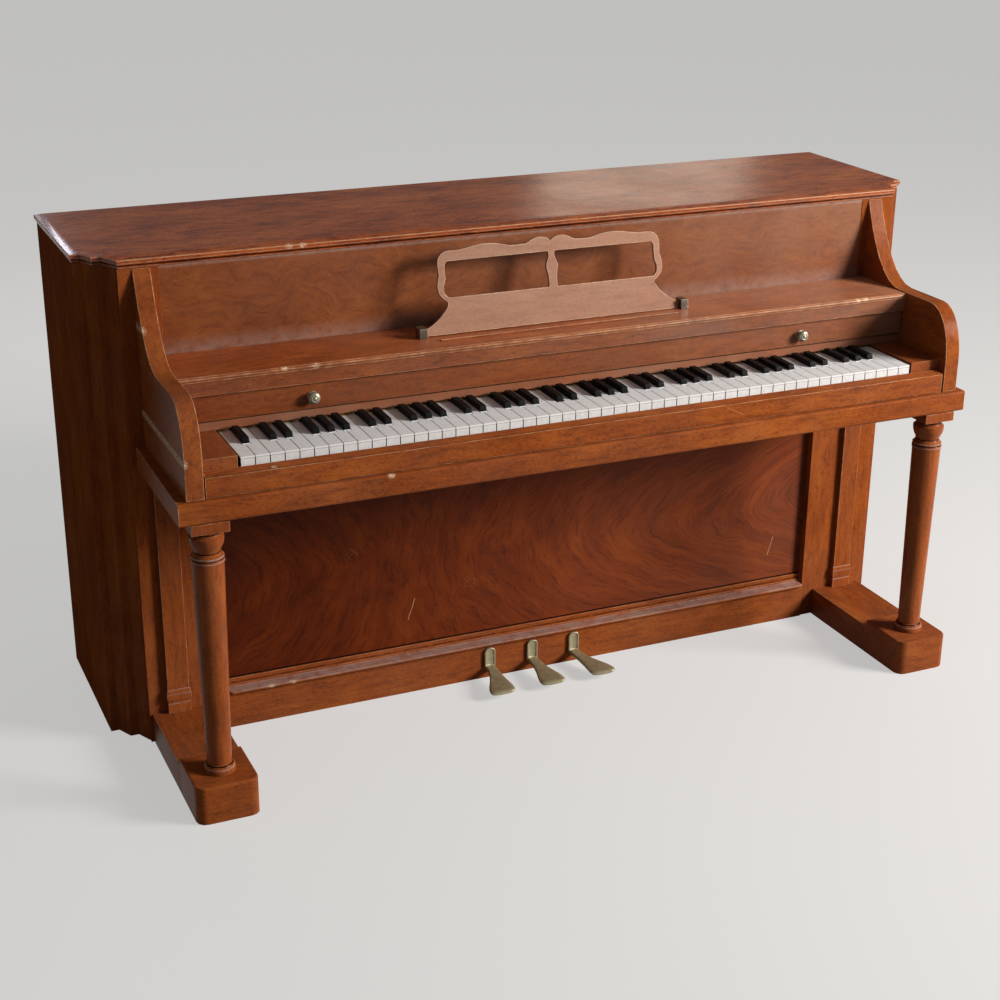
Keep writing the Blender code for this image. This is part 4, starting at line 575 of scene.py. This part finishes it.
def mesh_of(name, vertices, faces, smooth=True):
    mesh = bpy.data.meshes.new(name)
    mesh.from_pydata(vertices.tolist(), [], faces)
    mesh.validate()
    bm = bmesh.new()
    bm.from_mesh(mesh)
    bmesh.ops.remove_doubles(bm, verts=bm.verts, dist=0.000001)
    bmesh.ops.recalc_face_normals(bm, faces=bm.faces)
    for face in bm.faces:
        face.smooth = smooth
    for edge in bm.edges:
        edge.smooth = not edge.is_manifold or edge.calc_face_angle() < math.radians(40.0)
    bm.to_mesh(mesh)
    bm.free()
    return mesh


def lathed(profile, places, sides, facing):
    """Turned pieces: radius r at height h along the facing axis, spun in equal steps round it, at each place."""
    radius, height = np.array(profile, dtype=float).T
    angle = np.arange(sides) * 2.0 * np.pi / sides
    ring = np.stack([np.outer(radius, np.cos(angle)), np.outer(radius, np.sin(angle)),
                     np.repeat(height[:, None], sides, axis=1)], axis=-1)
    turned = ring @ np.array(facing, dtype=float)
    points = turned[None] + np.array(places, dtype=float)[:, None, None, :]
    quads, _ = grid_mesh("ring", ring)
    count = ring.shape[0] * sides
    faces = (quads[None] + (np.arange(len(places)) * count)[:, None, None]).reshape(-1, 4)
    return points.reshape(-1, 3), faces.tolist()


# Rows give where the turning's own x, y and height axes point
TO_FRONT = ((1.0, 0.0, 0.0), (0.0, 0.0, 1.0), (0.0, -1.0, 0.0))
TO_BACK = ((-1.0, 0.0, 0.0), (0.0, 0.0, 1.0), (0.0, 1.0, 0.0))

KNOB_PROFILE = ((0.0, 0.0173), (0.0014, 0.0172), (0.0024, 0.0168), (0.0030, 0.0161), (0.0033, 0.0154),
                (0.0039, 0.0152), (0.0045, 0.0155), (0.0054, 0.0156), (0.0062, 0.0153), (0.0066, 0.0146),
                (0.0072, 0.0143), (0.0082, 0.0140), (0.0092, 0.0131), (0.0100, 0.0118), (0.0104, 0.0102),
                (0.0102, 0.0086), (0.0094, 0.0071), (0.0080, 0.0059), (0.0064, 0.0050), (0.0055, 0.0043),
                (0.0054, 0.0035), (0.0061, 0.0028), (0.0078, 0.0024), (0.0092, 0.0021), (0.0096, 0.0014),
                (0.0096, 0.0003), (0.0, 0.0003))
KNOB_FACE_Y = 0.120 + DEPTH_SHIFT
KNOB_X = 0.4565
KNOB_Z = 0.6355


def turn_knobs():
    metal = brass("knob_brass", (0.46, 0.42, 0.31), 0.30, 0.55, 0.6, 0.5)
    for side, x in (("left", -KNOB_X), ("right", KNOB_X)):
        points, faces = lathed(KNOB_PROFILE, [(x, KNOB_FACE_Y, KNOB_Z)], 48, TO_FRONT)
        mesh = mesh_of("knob_" + side, points, faces)
        add_piece("fallboard_knob_turned_" + side, mesh, metal, "fallboard", "fallboard_knob_" + side)


PEDAL_SWEEP = {"pedal_left": (-0.0912, -0.0125), "pedal_middle": (-0.005, 0.002), "pedal_right": (0.0812, 0.0185)}
PEDAL_ROOT = 0.24365 + DEPTH_SHIFT
PEDAL_TIP = 0.1485 + DEPTH_SHIFT
PEDAL_TOP = 0.0265
# Rows: share of the length, share of the sweep, half width, drop and thickness
PEDAL_FORM = ((0.0, 0.0, 0.0098, 0.0, 0.0105), (0.14, 0.05, 0.0100, 0.0003, 0.0100),
              (0.36, 0.26, 0.0122, 0.0015, 0.0095), (0.58, 0.56, 0.0172, 0.0025, 0.0095),
              (0.77, 0.84, 0.0226, 0.0035, 0.0097), (0.90, 0.97, 0.0242, 0.0045, 0.0100),
              (0.965, 1.0, 0.0228, 0.0053, 0.0092), (1.0, 1.0, 0.0178, 0.0072, 0.0058))
PLATE_HALF = 0.0107
PLATE_BOTTOM = 0.0236
PLATE_ARCH = 0.0510
PLATE_FRONT = 0.2415 + DEPTH_SHIFT
# Rows: how far in from the plate's outline, and how far behind its front
PLATE_FORM = ((0.0, 0.0043), (0.0, 0.0014), (0.0003, 0.0006), (0.0009, 0.0001), (0.0017, 0.0), (0.0025, 0.0001),
              (0.0031, 0.0006), (0.0034, 0.0012), (0.0040, 0.0016))


def pedal_foot(x, sweep):
    """The foot is a loft: smooth curves through the rows of PEDAL_FORM, with rounded sections.

    A section at angle a has across = half * |cos a|^0.62 and height = |sin a|^0.8, the upper half shallower
    than the lower one, so the top is a flat crown with soft shoulders.
    """
    form = np.array(PEDAL_FORM)
    fine = np.concatenate([np.linspace(0.0, 0.90, 22), np.linspace(0.915, 1.0, 9)])
    slopes = np.gradient(form[:, 1:], form[:, 0], axis=0)
    upper = np.clip(np.searchsorted(form[:, 0], fine, side="left"), 1, len(form) - 1)
    low, high = form[upper - 1], form[upper]
    span = (high[:, 0] - low[:, 0])[:, None]
    t = ((fine - low[:, 0]) / span[:, 0])[:, None]
    curve = ((2 * t**3 - 3 * t**2 + 1) * low[:, 1:] + (t**3 - 2 * t**2 + t) * span * slopes[upper - 1]
             + (3 * t**2 - 2 * t**3) * high[:, 1:] + (t**3 - t**2) * span * slopes[upper])
    aside, half, drop, thick = curve.T[:, :, None]
    a = np.arange(28) * 2.0 * np.pi / 28
    across = np.sign(np.cos(a)) * np.abs(np.cos(a)) ** 0.62
    rise = np.where(np.sin(a) > 0, np.abs(np.sin(a)) ** 0.8 * 0.34, -np.abs(np.sin(a)) ** 0.7 * 0.60)
    depth = np.repeat((PEDAL_ROOT + (PEDAL_TIP - PEDAL_ROOT) * fine)[:, None], len(a), axis=1)
    points = np.stack([x + sweep * aside + half * across, depth, PEDAL_TOP - drop - thick * (0.36 - rise)], axis=-1)
    quads, flat = grid_mesh("foot", points)
    last = len(flat) - len(a)
    return flat, quads.tolist() + [list(range(len(a)))[::-1], list(range(last, last + len(a)))]


def pedal_plate(x):
    """The upright plate: an arch over straight sides, stepped inwards and back by PLATE_FORM."""
    a = np.linspace(0.0, np.pi, 25)
    inset, behind = np.array(PLATE_FORM).T[:, :, None]
    reach = PLATE_HALF - inset
    arch_x = x + reach * np.sign(np.cos(a)) * np.abs(np.cos(a)) ** 0.75
    arch_z = PLATE_ARCH + reach * np.sin(a) ** 0.75
    corner_x = np.concatenate([x - reach, x + reach], axis=1)
    corner_z = np.repeat(PLATE_BOTTOM + inset, 2, axis=1)
    across = np.concatenate([arch_x, corner_x], axis=1)
    height = np.concatenate([arch_z, corner_z], axis=1)
    points = np.stack([across, PLATE_FRONT + np.repeat(behind, across.shape[1], axis=1), height], axis=-1)
    quads, flat = grid_mesh("plate", points)
    columns = points.shape[1]
    last = len(flat) - columns
    return flat, quads.tolist() + [list(range(columns))[::-1], list(range(last, last + columns))]


def cast_pedals():
    """Smooth castings for the three pedals; the hidden arm behind each plate is cut from the CAD piece."""
    metal = brass("pedal_brass", (0.40, 0.355, 0.22), 0.36, 0.70, 0.50, 0.3)
    for name, (x, sweep) in PEDAL_SWEEP.items():
        source = NODES[name]
        bm = bmesh.new()
        bm.from_mesh(source.data)
        bmesh.ops.remove_doubles(bm, verts=bm.verts, dist=0.000002)
        everything = list(bm.verts) + list(bm.edges) + list(bm.faces)
        cut = bmesh.ops.bisect_plane(bm, geom=everything, plane_co=(0, PLATE_FRONT + 0.0045, 0), plane_no=(0, 1, 0),
                                     clear_inner=True)
        bmesh.ops.edgeloop_fill(bm, edges=[e for e in cut["geom_cut"] if isinstance(e, bmesh.types.BMEdge)])
        for points, faces in (pedal_foot(x, sweep), pedal_plate(x)):
            made = [bm.verts.new(point) for point in points.tolist()]
            for face in faces:
                bm.faces.new([made[i] for i in face])
        bmesh.ops.recalc_face_normals(bm, faces=bm.faces)
        for face in bm.faces:
            face.smooth = True
        for edge in bm.edges:
            edge.smooth = not edge.is_manifold or edge.calc_face_angle() < math.radians(50.0)
        mesh = bpy.data.meshes.new(name + "_cast")
        bm.to_mesh(mesh)
        bm.free()
        add_piece(name + "_cast", mesh, metal, source["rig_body"], name)


PIN_PROFILE = ((0.0, 0.0285), (0.0026, 0.0285), (0.0030, 0.0275), (0.0030, 0.0170), (0.0034, 0.0165),
               (0.0034, 0.0120), (0.0045, 0.0118), (0.0045, 0.0060), (0.0034, 0.0058), (0.0034, -0.0050))
NUT_TOP = 0.7040
NUT_BOTTOM = 0.6960
PIN_ROWS = (0.738, 0.756, 0.774)
STRING_GAP = 0.0026


def string_places():
    """Across-place, count in its note and rank of every string, from bass to treble."""
    notes = np.arange(NOTES)
    centre = -NOTE_HALF + 2.0 * NOTE_HALF * (notes + 0.5) / NOTES
    count = np.where(notes < 10, 1, np.where(notes < 30, 2, 3))
    note = np.repeat(notes, count)
    rank = np.concatenate([np.arange(c) for c in count])
    x = centre[note] + (rank - (count[note] - 1) / 2.0) * STRING_GAP
    return x, note, rank


def lay_strings():
    """Each string is a thin four-sided tube swept down one path: pin, nut, bridge and hitch pin.

    The path's depth is the string plane at the nut and the bridge face at the bridge, where a window of the
    plate lets it through; the bridge rises from left to right with one slow wave.
    """
    x, note, rank = string_places()
    pin_z = np.array(PIN_ROWS)[rank]
    share = np.clip((x + 0.34) / 0.96, 0.0, 1.0)
    treble_z = 0.19 + 0.34 * share + 0.05 * np.sin(2.0 * np.pi * share)
    bridge_z = np.where(note < 30, 0.150 - (x + 0.50) * 0.14, treble_z)
    struts = ((-0.3800, -0.3425), (-0.0363, 0.0013), (0.3075, 0.3450))
    blocked = np.zeros(len(x), dtype=bool)
    for low, high in struts:
        blocked |= (x > low) & (x < high)
    blocked |= (x < -0.684) | (x > 0.650)
    at_bridge = np.where(blocked, PLATE_DEPTH - 0.003, BRIDGE_DEPTH - 0.0008)
    thick = np.interp(note, (0, 20, 29, 30, 87), (0.0016, 0.0010, 0.0008, 0.0006, 0.0004))
    front = np.full(len(x), STRING_DEPTH + 0.0012)
    depth = np.stack([np.full(len(x), PLATE_DEPTH - 0.0090), front, front + 0.0012, at_bridge,
                      np.full(len(x), PLATE_DEPTH - 0.0030)], axis=1)
    low_end = np.full(len(x), 0.085)
    height = np.stack([pin_z, np.full(len(x), (NUT_TOP + NUT_BOTTOM) / 2.0), np.full(len(x), 0.560),
                       np.minimum(bridge_z, 0.540), low_end], axis=1)
    across = np.repeat(x[:, None], 5, axis=1)
    across[:, 0] += 0.0045
    ring = np.array(((1.0, 0.0), (0.0, 1.0), (-1.0, 0.0), (0.0, -1.0)))
    points = np.stack([across, depth + DEPTH_SHIFT, height], axis=-1)[:, :, None, :].repeat(4, axis=2)
    points[..., 0] += ring[None, None, :, 0] * thick[:, None, None]
    points[..., 1] += ring[None, None, :, 1] * thick[:, None, None]
    quads, _ = grid_mesh("string", points[0])
    caps = np.array(((3, 2, 1, 0), (16, 17, 18, 19)))
    one = np.concatenate([quads, caps])
    for label, chosen, tone in (("wound_strings", note < 30, (0.50, 0.24, 0.13)),
                                ("plain_strings", note >= 30, (0.52, 0.52, 0.52))):
        block = points[chosen].reshape(-1, 3)
        faces = (one[None] + (np.arange(chosen.sum()) * 20)[:, None, None]).reshape(-1, 4)
        add_piece(label, mesh_of(label, block, faces.tolist(), False), steel(label + "_wire", tone, 0.3), "case")
    pins = np.stack([x, np.full(len(x), PLATE_DEPTH + DEPTH_SHIFT), pin_z], axis=1)
    turned, faces = lathed(PIN_PROFILE, pins, 8, TO_FRONT)
    add_piece("tuning_pins", mesh_of("tuning_pins", turned, faces), steel("blued_steel", (0.20, 0.21, 0.24), 0.3),
              "case")


def block_mesh(name, boxes, width):
    """Plain bars given by their low and high corners, with their edges rounded."""
    bm = bmesh.new()
    for low, high in boxes:
        low, high = np.array(low), np.array(high)
        made = bmesh.ops.create_cube(bm, size=1.0)
        bmesh.ops.scale(bm, vec=high - low, verts=made["verts"])
        bmesh.ops.translate(bm, vec=(low + high) / 2.0, verts=made["verts"])
    ease_edges(bm, list(bm.edges), width, 2)
    for face in bm.faces:
        face.smooth = True
    mesh = bpy.data.meshes.new(name)
    bm.to_mesh(mesh)
    bm.free()
    return mesh


def nut_bars():
    """Half-round bars on the plate over which the strings run down from their pins."""
    front = STRING_DEPTH + 0.0018 + DEPTH_SHIFT
    back = PLATE_DEPTH + 0.001 + DEPTH_SHIFT
    spans = ((-0.612, -0.380), (-0.342, -0.037), (0.002, 0.307), (0.345, 0.612))
    boxes = [((low, front, NUT_BOTTOM), (high, back, NUT_TOP)) for low, high in spans]
    add_piece("nut_bars", block_mesh("nut_bars", boxes, 0.0012), brass("nut_brass", (0.60, 0.48, 0.22), 0.3), "case")


SCREW_PROFILE = ((0.0, 0.0006), (0.0010, 0.0006), (0.0013, 0.0009), (0.0026, 0.0007), (0.0034, 0.0001),
                 (0.0034, -0.0004))


def hinge_screws():
    """Round screw heads along both leaves of the lid hinge."""
    back = CASE_BACK + 0.0003 + 0.0012 + DEPTH_SHIFT
    x = np.linspace(-HINGE_HALF + 0.03, HINGE_HALF - 0.03, 15)
    metal = brass("screw_brass", (0.66, 0.56, 0.32), 0.3)
    for label, body, z in (("case_screws", "case", CASE_TOP - 0.0088), ("lid_screws", "lid", CASE_TOP + 0.0088)):
        places = np.stack([x, np.full(len(x), back), np.full(len(x), z)], axis=1)
        points, faces = lathed(SCREW_PROFILE, places, 12, TO_BACK)
        add_piece(label, mesh_of(label, points, faces), metal, body)


def dress_case():
    # Lid lines: worn lines, a lilac line of dust and painted sheen of the cool light, and a dark line of painted shade
    # in the groove; the lid also gets painted shade in a join and painted sheen towards the treble end
    lid_lines = ((2, 0.8515, 0.0010, RUBBED, 0.9), (2, 0.8459, 0.0007, RUBBED, 0.6), (2, 0.8384, 0.0009, LILAC_DUST_AND_SHEEN, 0.8),
                 (2, 0.8489, 0.0012, LID_DARK, 0.6))
    eased(veneer("veneer_lid", "X", LID, streak=1.6, mottle=1.5, swirl=1.0, haze=0.06, painted_sheen=0.12, gloss=0.25, seed=1.3,
                 specular=0.26, wear=0.7, lines=lid_lines, shade_lines=((2, 0.8425, 0.0016),),
                 chips=((-0.4475, -0.0459, 0.8515), (-0.424, -0.0459, 0.8515))),
          ["lid"], 0.0010, shortest=1.2)
    eased(veneer("veneer_upright", "Z", MAHOGANY, 0.8, 0.8, swirl=0.4, seed=2.1, wear=0.10, specular=0.0),
          both("case_side", "front_stile"), 0.0008)
    # Painted shade in the leg's grooves and painted highlights on its rims
    leg_groove_shade = tuple((2, height, 0.0011) for height in LEG_GROOVES)
    leg_rim_highlights = tuple((2, height, 0.0013, LILAC_DUST_AND_SHEEN, 0.75) for height in LEG_RIMS)
    eased(veneer("veneer_turned", "Z", MAHOGANY, 0.7, 0.8, swirl=0.3, seed=3.7, wear=0.6, gloss=0.26, specular=0.05,
                 shade_lines=leg_groove_shade, lines=leg_rim_highlights), both("leg"), 0.0010, angle=75.0)
    # Pale lines at the heights of the pilaster's base rings
    rings = tuple((2, height, 0.0009, RING_PALE, 0.7) for height in (0.0717, 0.0776, 0.0896, 0.0977))
    eased(veneer("veneer_pilaster", "Z", MAHOGANY, 0.8, 0.8, swirl=0.4, seed=3.9, wear=0.8, specular=0.03, lines=rings),
          both("pilaster"), 0.0009, angle=60.0)
    eased(veneer("veneer_arm", "Y", MAHOGANY, 0.9, 0.9, swirl=0.8, seed=4.4, wear=0.9, gloss=0.28, specular=0.03,
                 chips=((-0.7025, None, 0.7465), (-0.7025, None, 0.601))),
          both("arm"), 0.0015)
    eased(veneer("veneer_cheek", "Y", MAHOGANY, 0.9, 0.9, swirl=0.8, seed=4.9, wear=0.5, specular=0.08), both("cheek_block"),
          0.0010)
    eased(veneer("veneer_foot", "Y", MAHOGANY, 0.9, 0.9, seed=5.2, wear=0.6, specular=0.03), both("foot_runner"),
          0.0012)
    eased(veneer("veneer_toe", "X", MAHOGANY, 0.9, 0.9, seed=5.6, wear=0.8, specular=0.03), both("toe_block"),
          0.0010, soft=35.0)
    eased(veneer("veneer_keybed", "X", MAHOGANY, 0.9, 1.1, swirl=0.5, seed=6.9, wear=0.9, specular=0.03,
                 chips=((-0.3783, -0.3185, 0.5422),)), ["keybed"], 0.0011, soft=35.0)
    eased(veneer("veneer_slip", "X", MAHOGANY, 0.9, 1.1, swirl=0.5, seed=6.4, wear=0.9, specular=0.04,
                 shade_lines=((2, 0.5426, 0.0014),), chips=((-0.563, -0.3092, 0.5817),), marks=slip_marks),
          ["key_slip"], 0.0011, angle=30.0)
    eased(veneer("veneer_nameboard", "X", MAHOGANY, 0.5, 0.6, haze=0.40, wear=0.2, seed=6.6, specular=0.08,
                 shade_lines=((2, 0.6142, 0.0012),)), ["nameboard"], 0.0006, angle=30.0)
    # Rail lines: a lilac line on the lip's top, of dust and painted sheen, and a dark line above it
    rail_lines = ((2, 0.0725, 0.0025, LILAC_DUST_AND_SHEEN, 0.60), (2, 0.0795, 0.0022, PANEL_DARK, 0.7))
    eased(veneer("veneer_rail", "X", MAHOGANY, 0.8, 1.0, swirl=0.4, seed=7.2, wear=0.5, specular=0.03,
                 lines=rail_lines, chips=((-0.512, -0.0529, 0.0720), (-0.473, -0.0529, 0.0720))),
          ["bottom_rail"], 0.0008, soft=35.0)
    # Fallboard: painted sheen towards the treble end, and painted shade in the joins above and below it
    eased(veneer("veneer_fallboard", "X", BOARD, 0.8, 0.9, swirl=0.4, seed=6.1, wear=0.35, haze=0.08, painted_sheen=0.26,
                 shade_lines=((2, 0.6586, 0.0016), (2, 0.6156, 0.0010)), specular=0.10), ["fallboard"], 0.0010)
    # Shelf: painted sheen towards the treble end, top faces painted lighter as lit from above, and painted shade along
    # the fascia's lower join
    eased(veneer("veneer_shelf", "X", BOARD, 1.1, 1.1, swirl=0.5, haze=0.08, painted_sheen=0.28, seed=7.5, wear=0.8,
                 specular=0.20, gloss=0.26, lit_tops=0.9, shade_lines=((2, 0.6594, 0.0009),),
                 chips=((-0.503, -0.1813, 0.692), (-0.451, -0.1813, 0.692), (0.570, -0.1813, 0.692),
                        (0.586, -0.1813, 0.692))),
          ["shelf"], 0.0012, angle=38.0, shortest=3.0)
    # Upper panel: lilac bands of dust and painted sheen above the shelf and under the lid, and painted sheen towards
    # the treble end
    upper_lines = ((2, 0.6900, 0.0300, LILAC_DUST_AND_SHEEN, 0.40), (2, 0.8360, 0.0050, LILAC_DUST_AND_SHEEN, 0.5))
    dress(veneer("veneer_upper_panel", "X", UPPER, 0.8, 0.7, swirl=2.6, seed=8.8, haze=0.10, painted_sheen=0.24,
                 specular=0.12, lines=upper_lines), "upper_panel")
    # Bottom panel: painted shade darkest at the bass end, painted sheen towards the treble end, and painted shade in
    # the join at its lower edge
    dress(veneer("veneer_bottom_panel", "X", PANEL, 1.0, 0.6, figure=feather_figure, wear=0.0, haze=0.0, specular=0.08, painted_sheen=0.10,
                 marks=panel_marks, shade_falloff=(-0.60, 0.10, 0.75), shade_lines=((2, 0.0888, 0.0016),)), "bottom_panel")
    eased(veneer("veneer_desk", "X", DESK, 0.6, 0.45, swirl=0.3, wear=0.9, haze=0.25, gloss=0.42, seed=10.2,
                 specular=0.10, edge_tone=DESK_RIM), ["music_desk"], 0.0011, shortest=1.5)


def dress_works():
    beech = veneer("beech", "X", BEECH, 0.7, 0.5, swirl=0.3, wear=0.0, gloss=0.5, seed=11.0, haze=0.0)
    dress(beech, "key_frame", "pin_block", "action_frame", "bottom_board", *both("trap_lever"))
    dress(veneer("beech_posts", "Z", BEECH, 0.8, 0.6, swirl=0.3, wear=0.0, gloss=0.5, seed=12.0), "back_frame")
    dress(veneer("spruce", "Z", SPRUCE, 0.6, 0.4, swirl=0.1, wear=0.0, gloss=0.4, seed=13.0), "soundboard")
    dress(cast_iron(), "iron_plate")
    dress(felt_heads("hammer_felt", 0.683), "hammer_row")
    dress(felt_heads("damper_felt", 0.632), "damper_row")


def dress_metal():
    cast_pedals()
    eased(brass("bracket_metal", (0.26, 0.23, 0.19), 0.34), both("desk_bracket"), 0.0008)
    dress(brass("hinge_brass", (0.62, 0.50, 0.26), 0.36), "lid_hinge_case_leaf", "lid_hinge_lid_leaf")
    turn_knobs()
    hinge_screws()


def dress_keys():
    eased_keys(key_plastic(), ["bass_keys", "treble_keys"] + ["key_" + note + "4" for note in "cdefgab"])
    eased_keys(sharp_plastic(), ["key_" + note + "_sharp4" for note in "cdfga"])


def place_camera():
    """The camera of the photograph: azimuth from +Y towards +X, elevation and a small roll."""
    azimuth, elevation, roll = (math.radians(v) for v in (CAMERA_AZIMUTH, CAMERA_ELEVATION, CAMERA_ROLL))
    forward = Vector((math.sin(azimuth) * math.cos(elevation), math.cos(azimuth) * math.cos(elevation),
                      math.sin(elevation)))
    level = Vector((math.cos(azimuth), -math.sin(azimuth), 0.0))
    upright = level.cross(forward)
    right = level * math.cos(roll) + upright * math.sin(roll)
    up = upright * math.cos(roll) - level * math.sin(roll)
    data = bpy.data.cameras.new("photo_camera")
    data.lens = CAMERA_LENS
    data.sensor_width = SENSOR
    camera = bpy.data.objects.new("photo_camera", data)
    turn = Matrix((right, up, -forward)).transposed().to_4x4()
    camera.matrix_world = Matrix.Translation(CAMERA_PLACE) @ turn
    bpy.context.scene.collection.objects.link(camera)
    bpy.context.scene.camera = camera


def area_light(name, place, target, size, power, tint):
    data = bpy.data.lights.new(name, "AREA")
    data.shape = "SQUARE"
    data.size = size
    data.energy = power
    data.color = tint
    light = bpy.data.objects.new(name, data)
    light.location = place
    light.rotation_euler = (Vector(target) - Vector(place)).to_track_quat("-Z", "Y").to_euler()
    bpy.context.scene.collection.objects.link(light)


FLOOR_REACH = 40.0


def studio():
    """A pale floor, a broad warm key light from the front right, a cool fill and two lights behind for the sheen."""
    area_light("key_light", (3.17, -2.40, 2.00), (0.0, 0.0, 0.50), 1.3, 268.0, (1.0, 0.945, 0.88))
    area_light("fill_light", (-3.6, -1.6, 2.2), (0.0, 0.0, 0.5), 2.0, 2.0, (0.80, 0.86, 1.0))
    area_light("rear_light", (1.95, 3.2, 1.58), (0.27, 0.11, 0.856), 0.8, 2.6, (1.0, 0.86, 0.70))
    area_light("rim_light", (-0.72, 3.2, 1.75), (-0.75, 0.1, 0.85), 0.5, 9.0, (0.86, 0.86, 1.0))
    world = bpy.data.worlds.new("studio")
    world.use_nodes = True
    world.node_tree.nodes["Background"].inputs["Color"].default_value = (1.0, 0.97, 0.93, 1.0)
    world.node_tree.nodes["Background"].inputs["Strength"].default_value = 0.14
    bpy.context.scene.world = world
    mesh = bpy.data.meshes.new("floor")
    reach = FLOOR_REACH
    mesh.from_pydata([(-reach, -reach, 0), (reach, -reach, 0), (reach, reach, 0), (-reach, reach, 0)], [], [(0, 1, 2, 3)])
    floor = bpy.data.objects.new("floor", mesh)
    bpy.context.scene.collection.objects.link(floor)
    f = Finish("floor_paper")
    f.surface(f.mix(f.noise(f.coords, 1.2, 2.0), (0.265, 0.263, 0.260), (0.275, 0.273, 0.270)), 0.9)
    path = f.tree.nodes.new("ShaderNodeLightPath")
    seen = f.math("ADD", path.outputs["Is Camera Ray"], path.outputs["Is Glossy Ray"])
    seen = f.math("ADD", seen, path.outputs["Is Transmission Ray"], True)
    f.shader.inputs["Emission Color"].default_value = (1.0, 0.995, 0.985, 1.0)
    f.feed(f.shader.inputs["Emission Strength"], f.math("MULTIPLY", seen, 0.48))
    mesh.materials.append(f.material)


place_camera()
dress_case()
dress_works()
dress_metal()
dress_keys()
lay_strings()
nut_bars()
studio()
bpy.context.scene.view_settings.view_transform = "Standard"
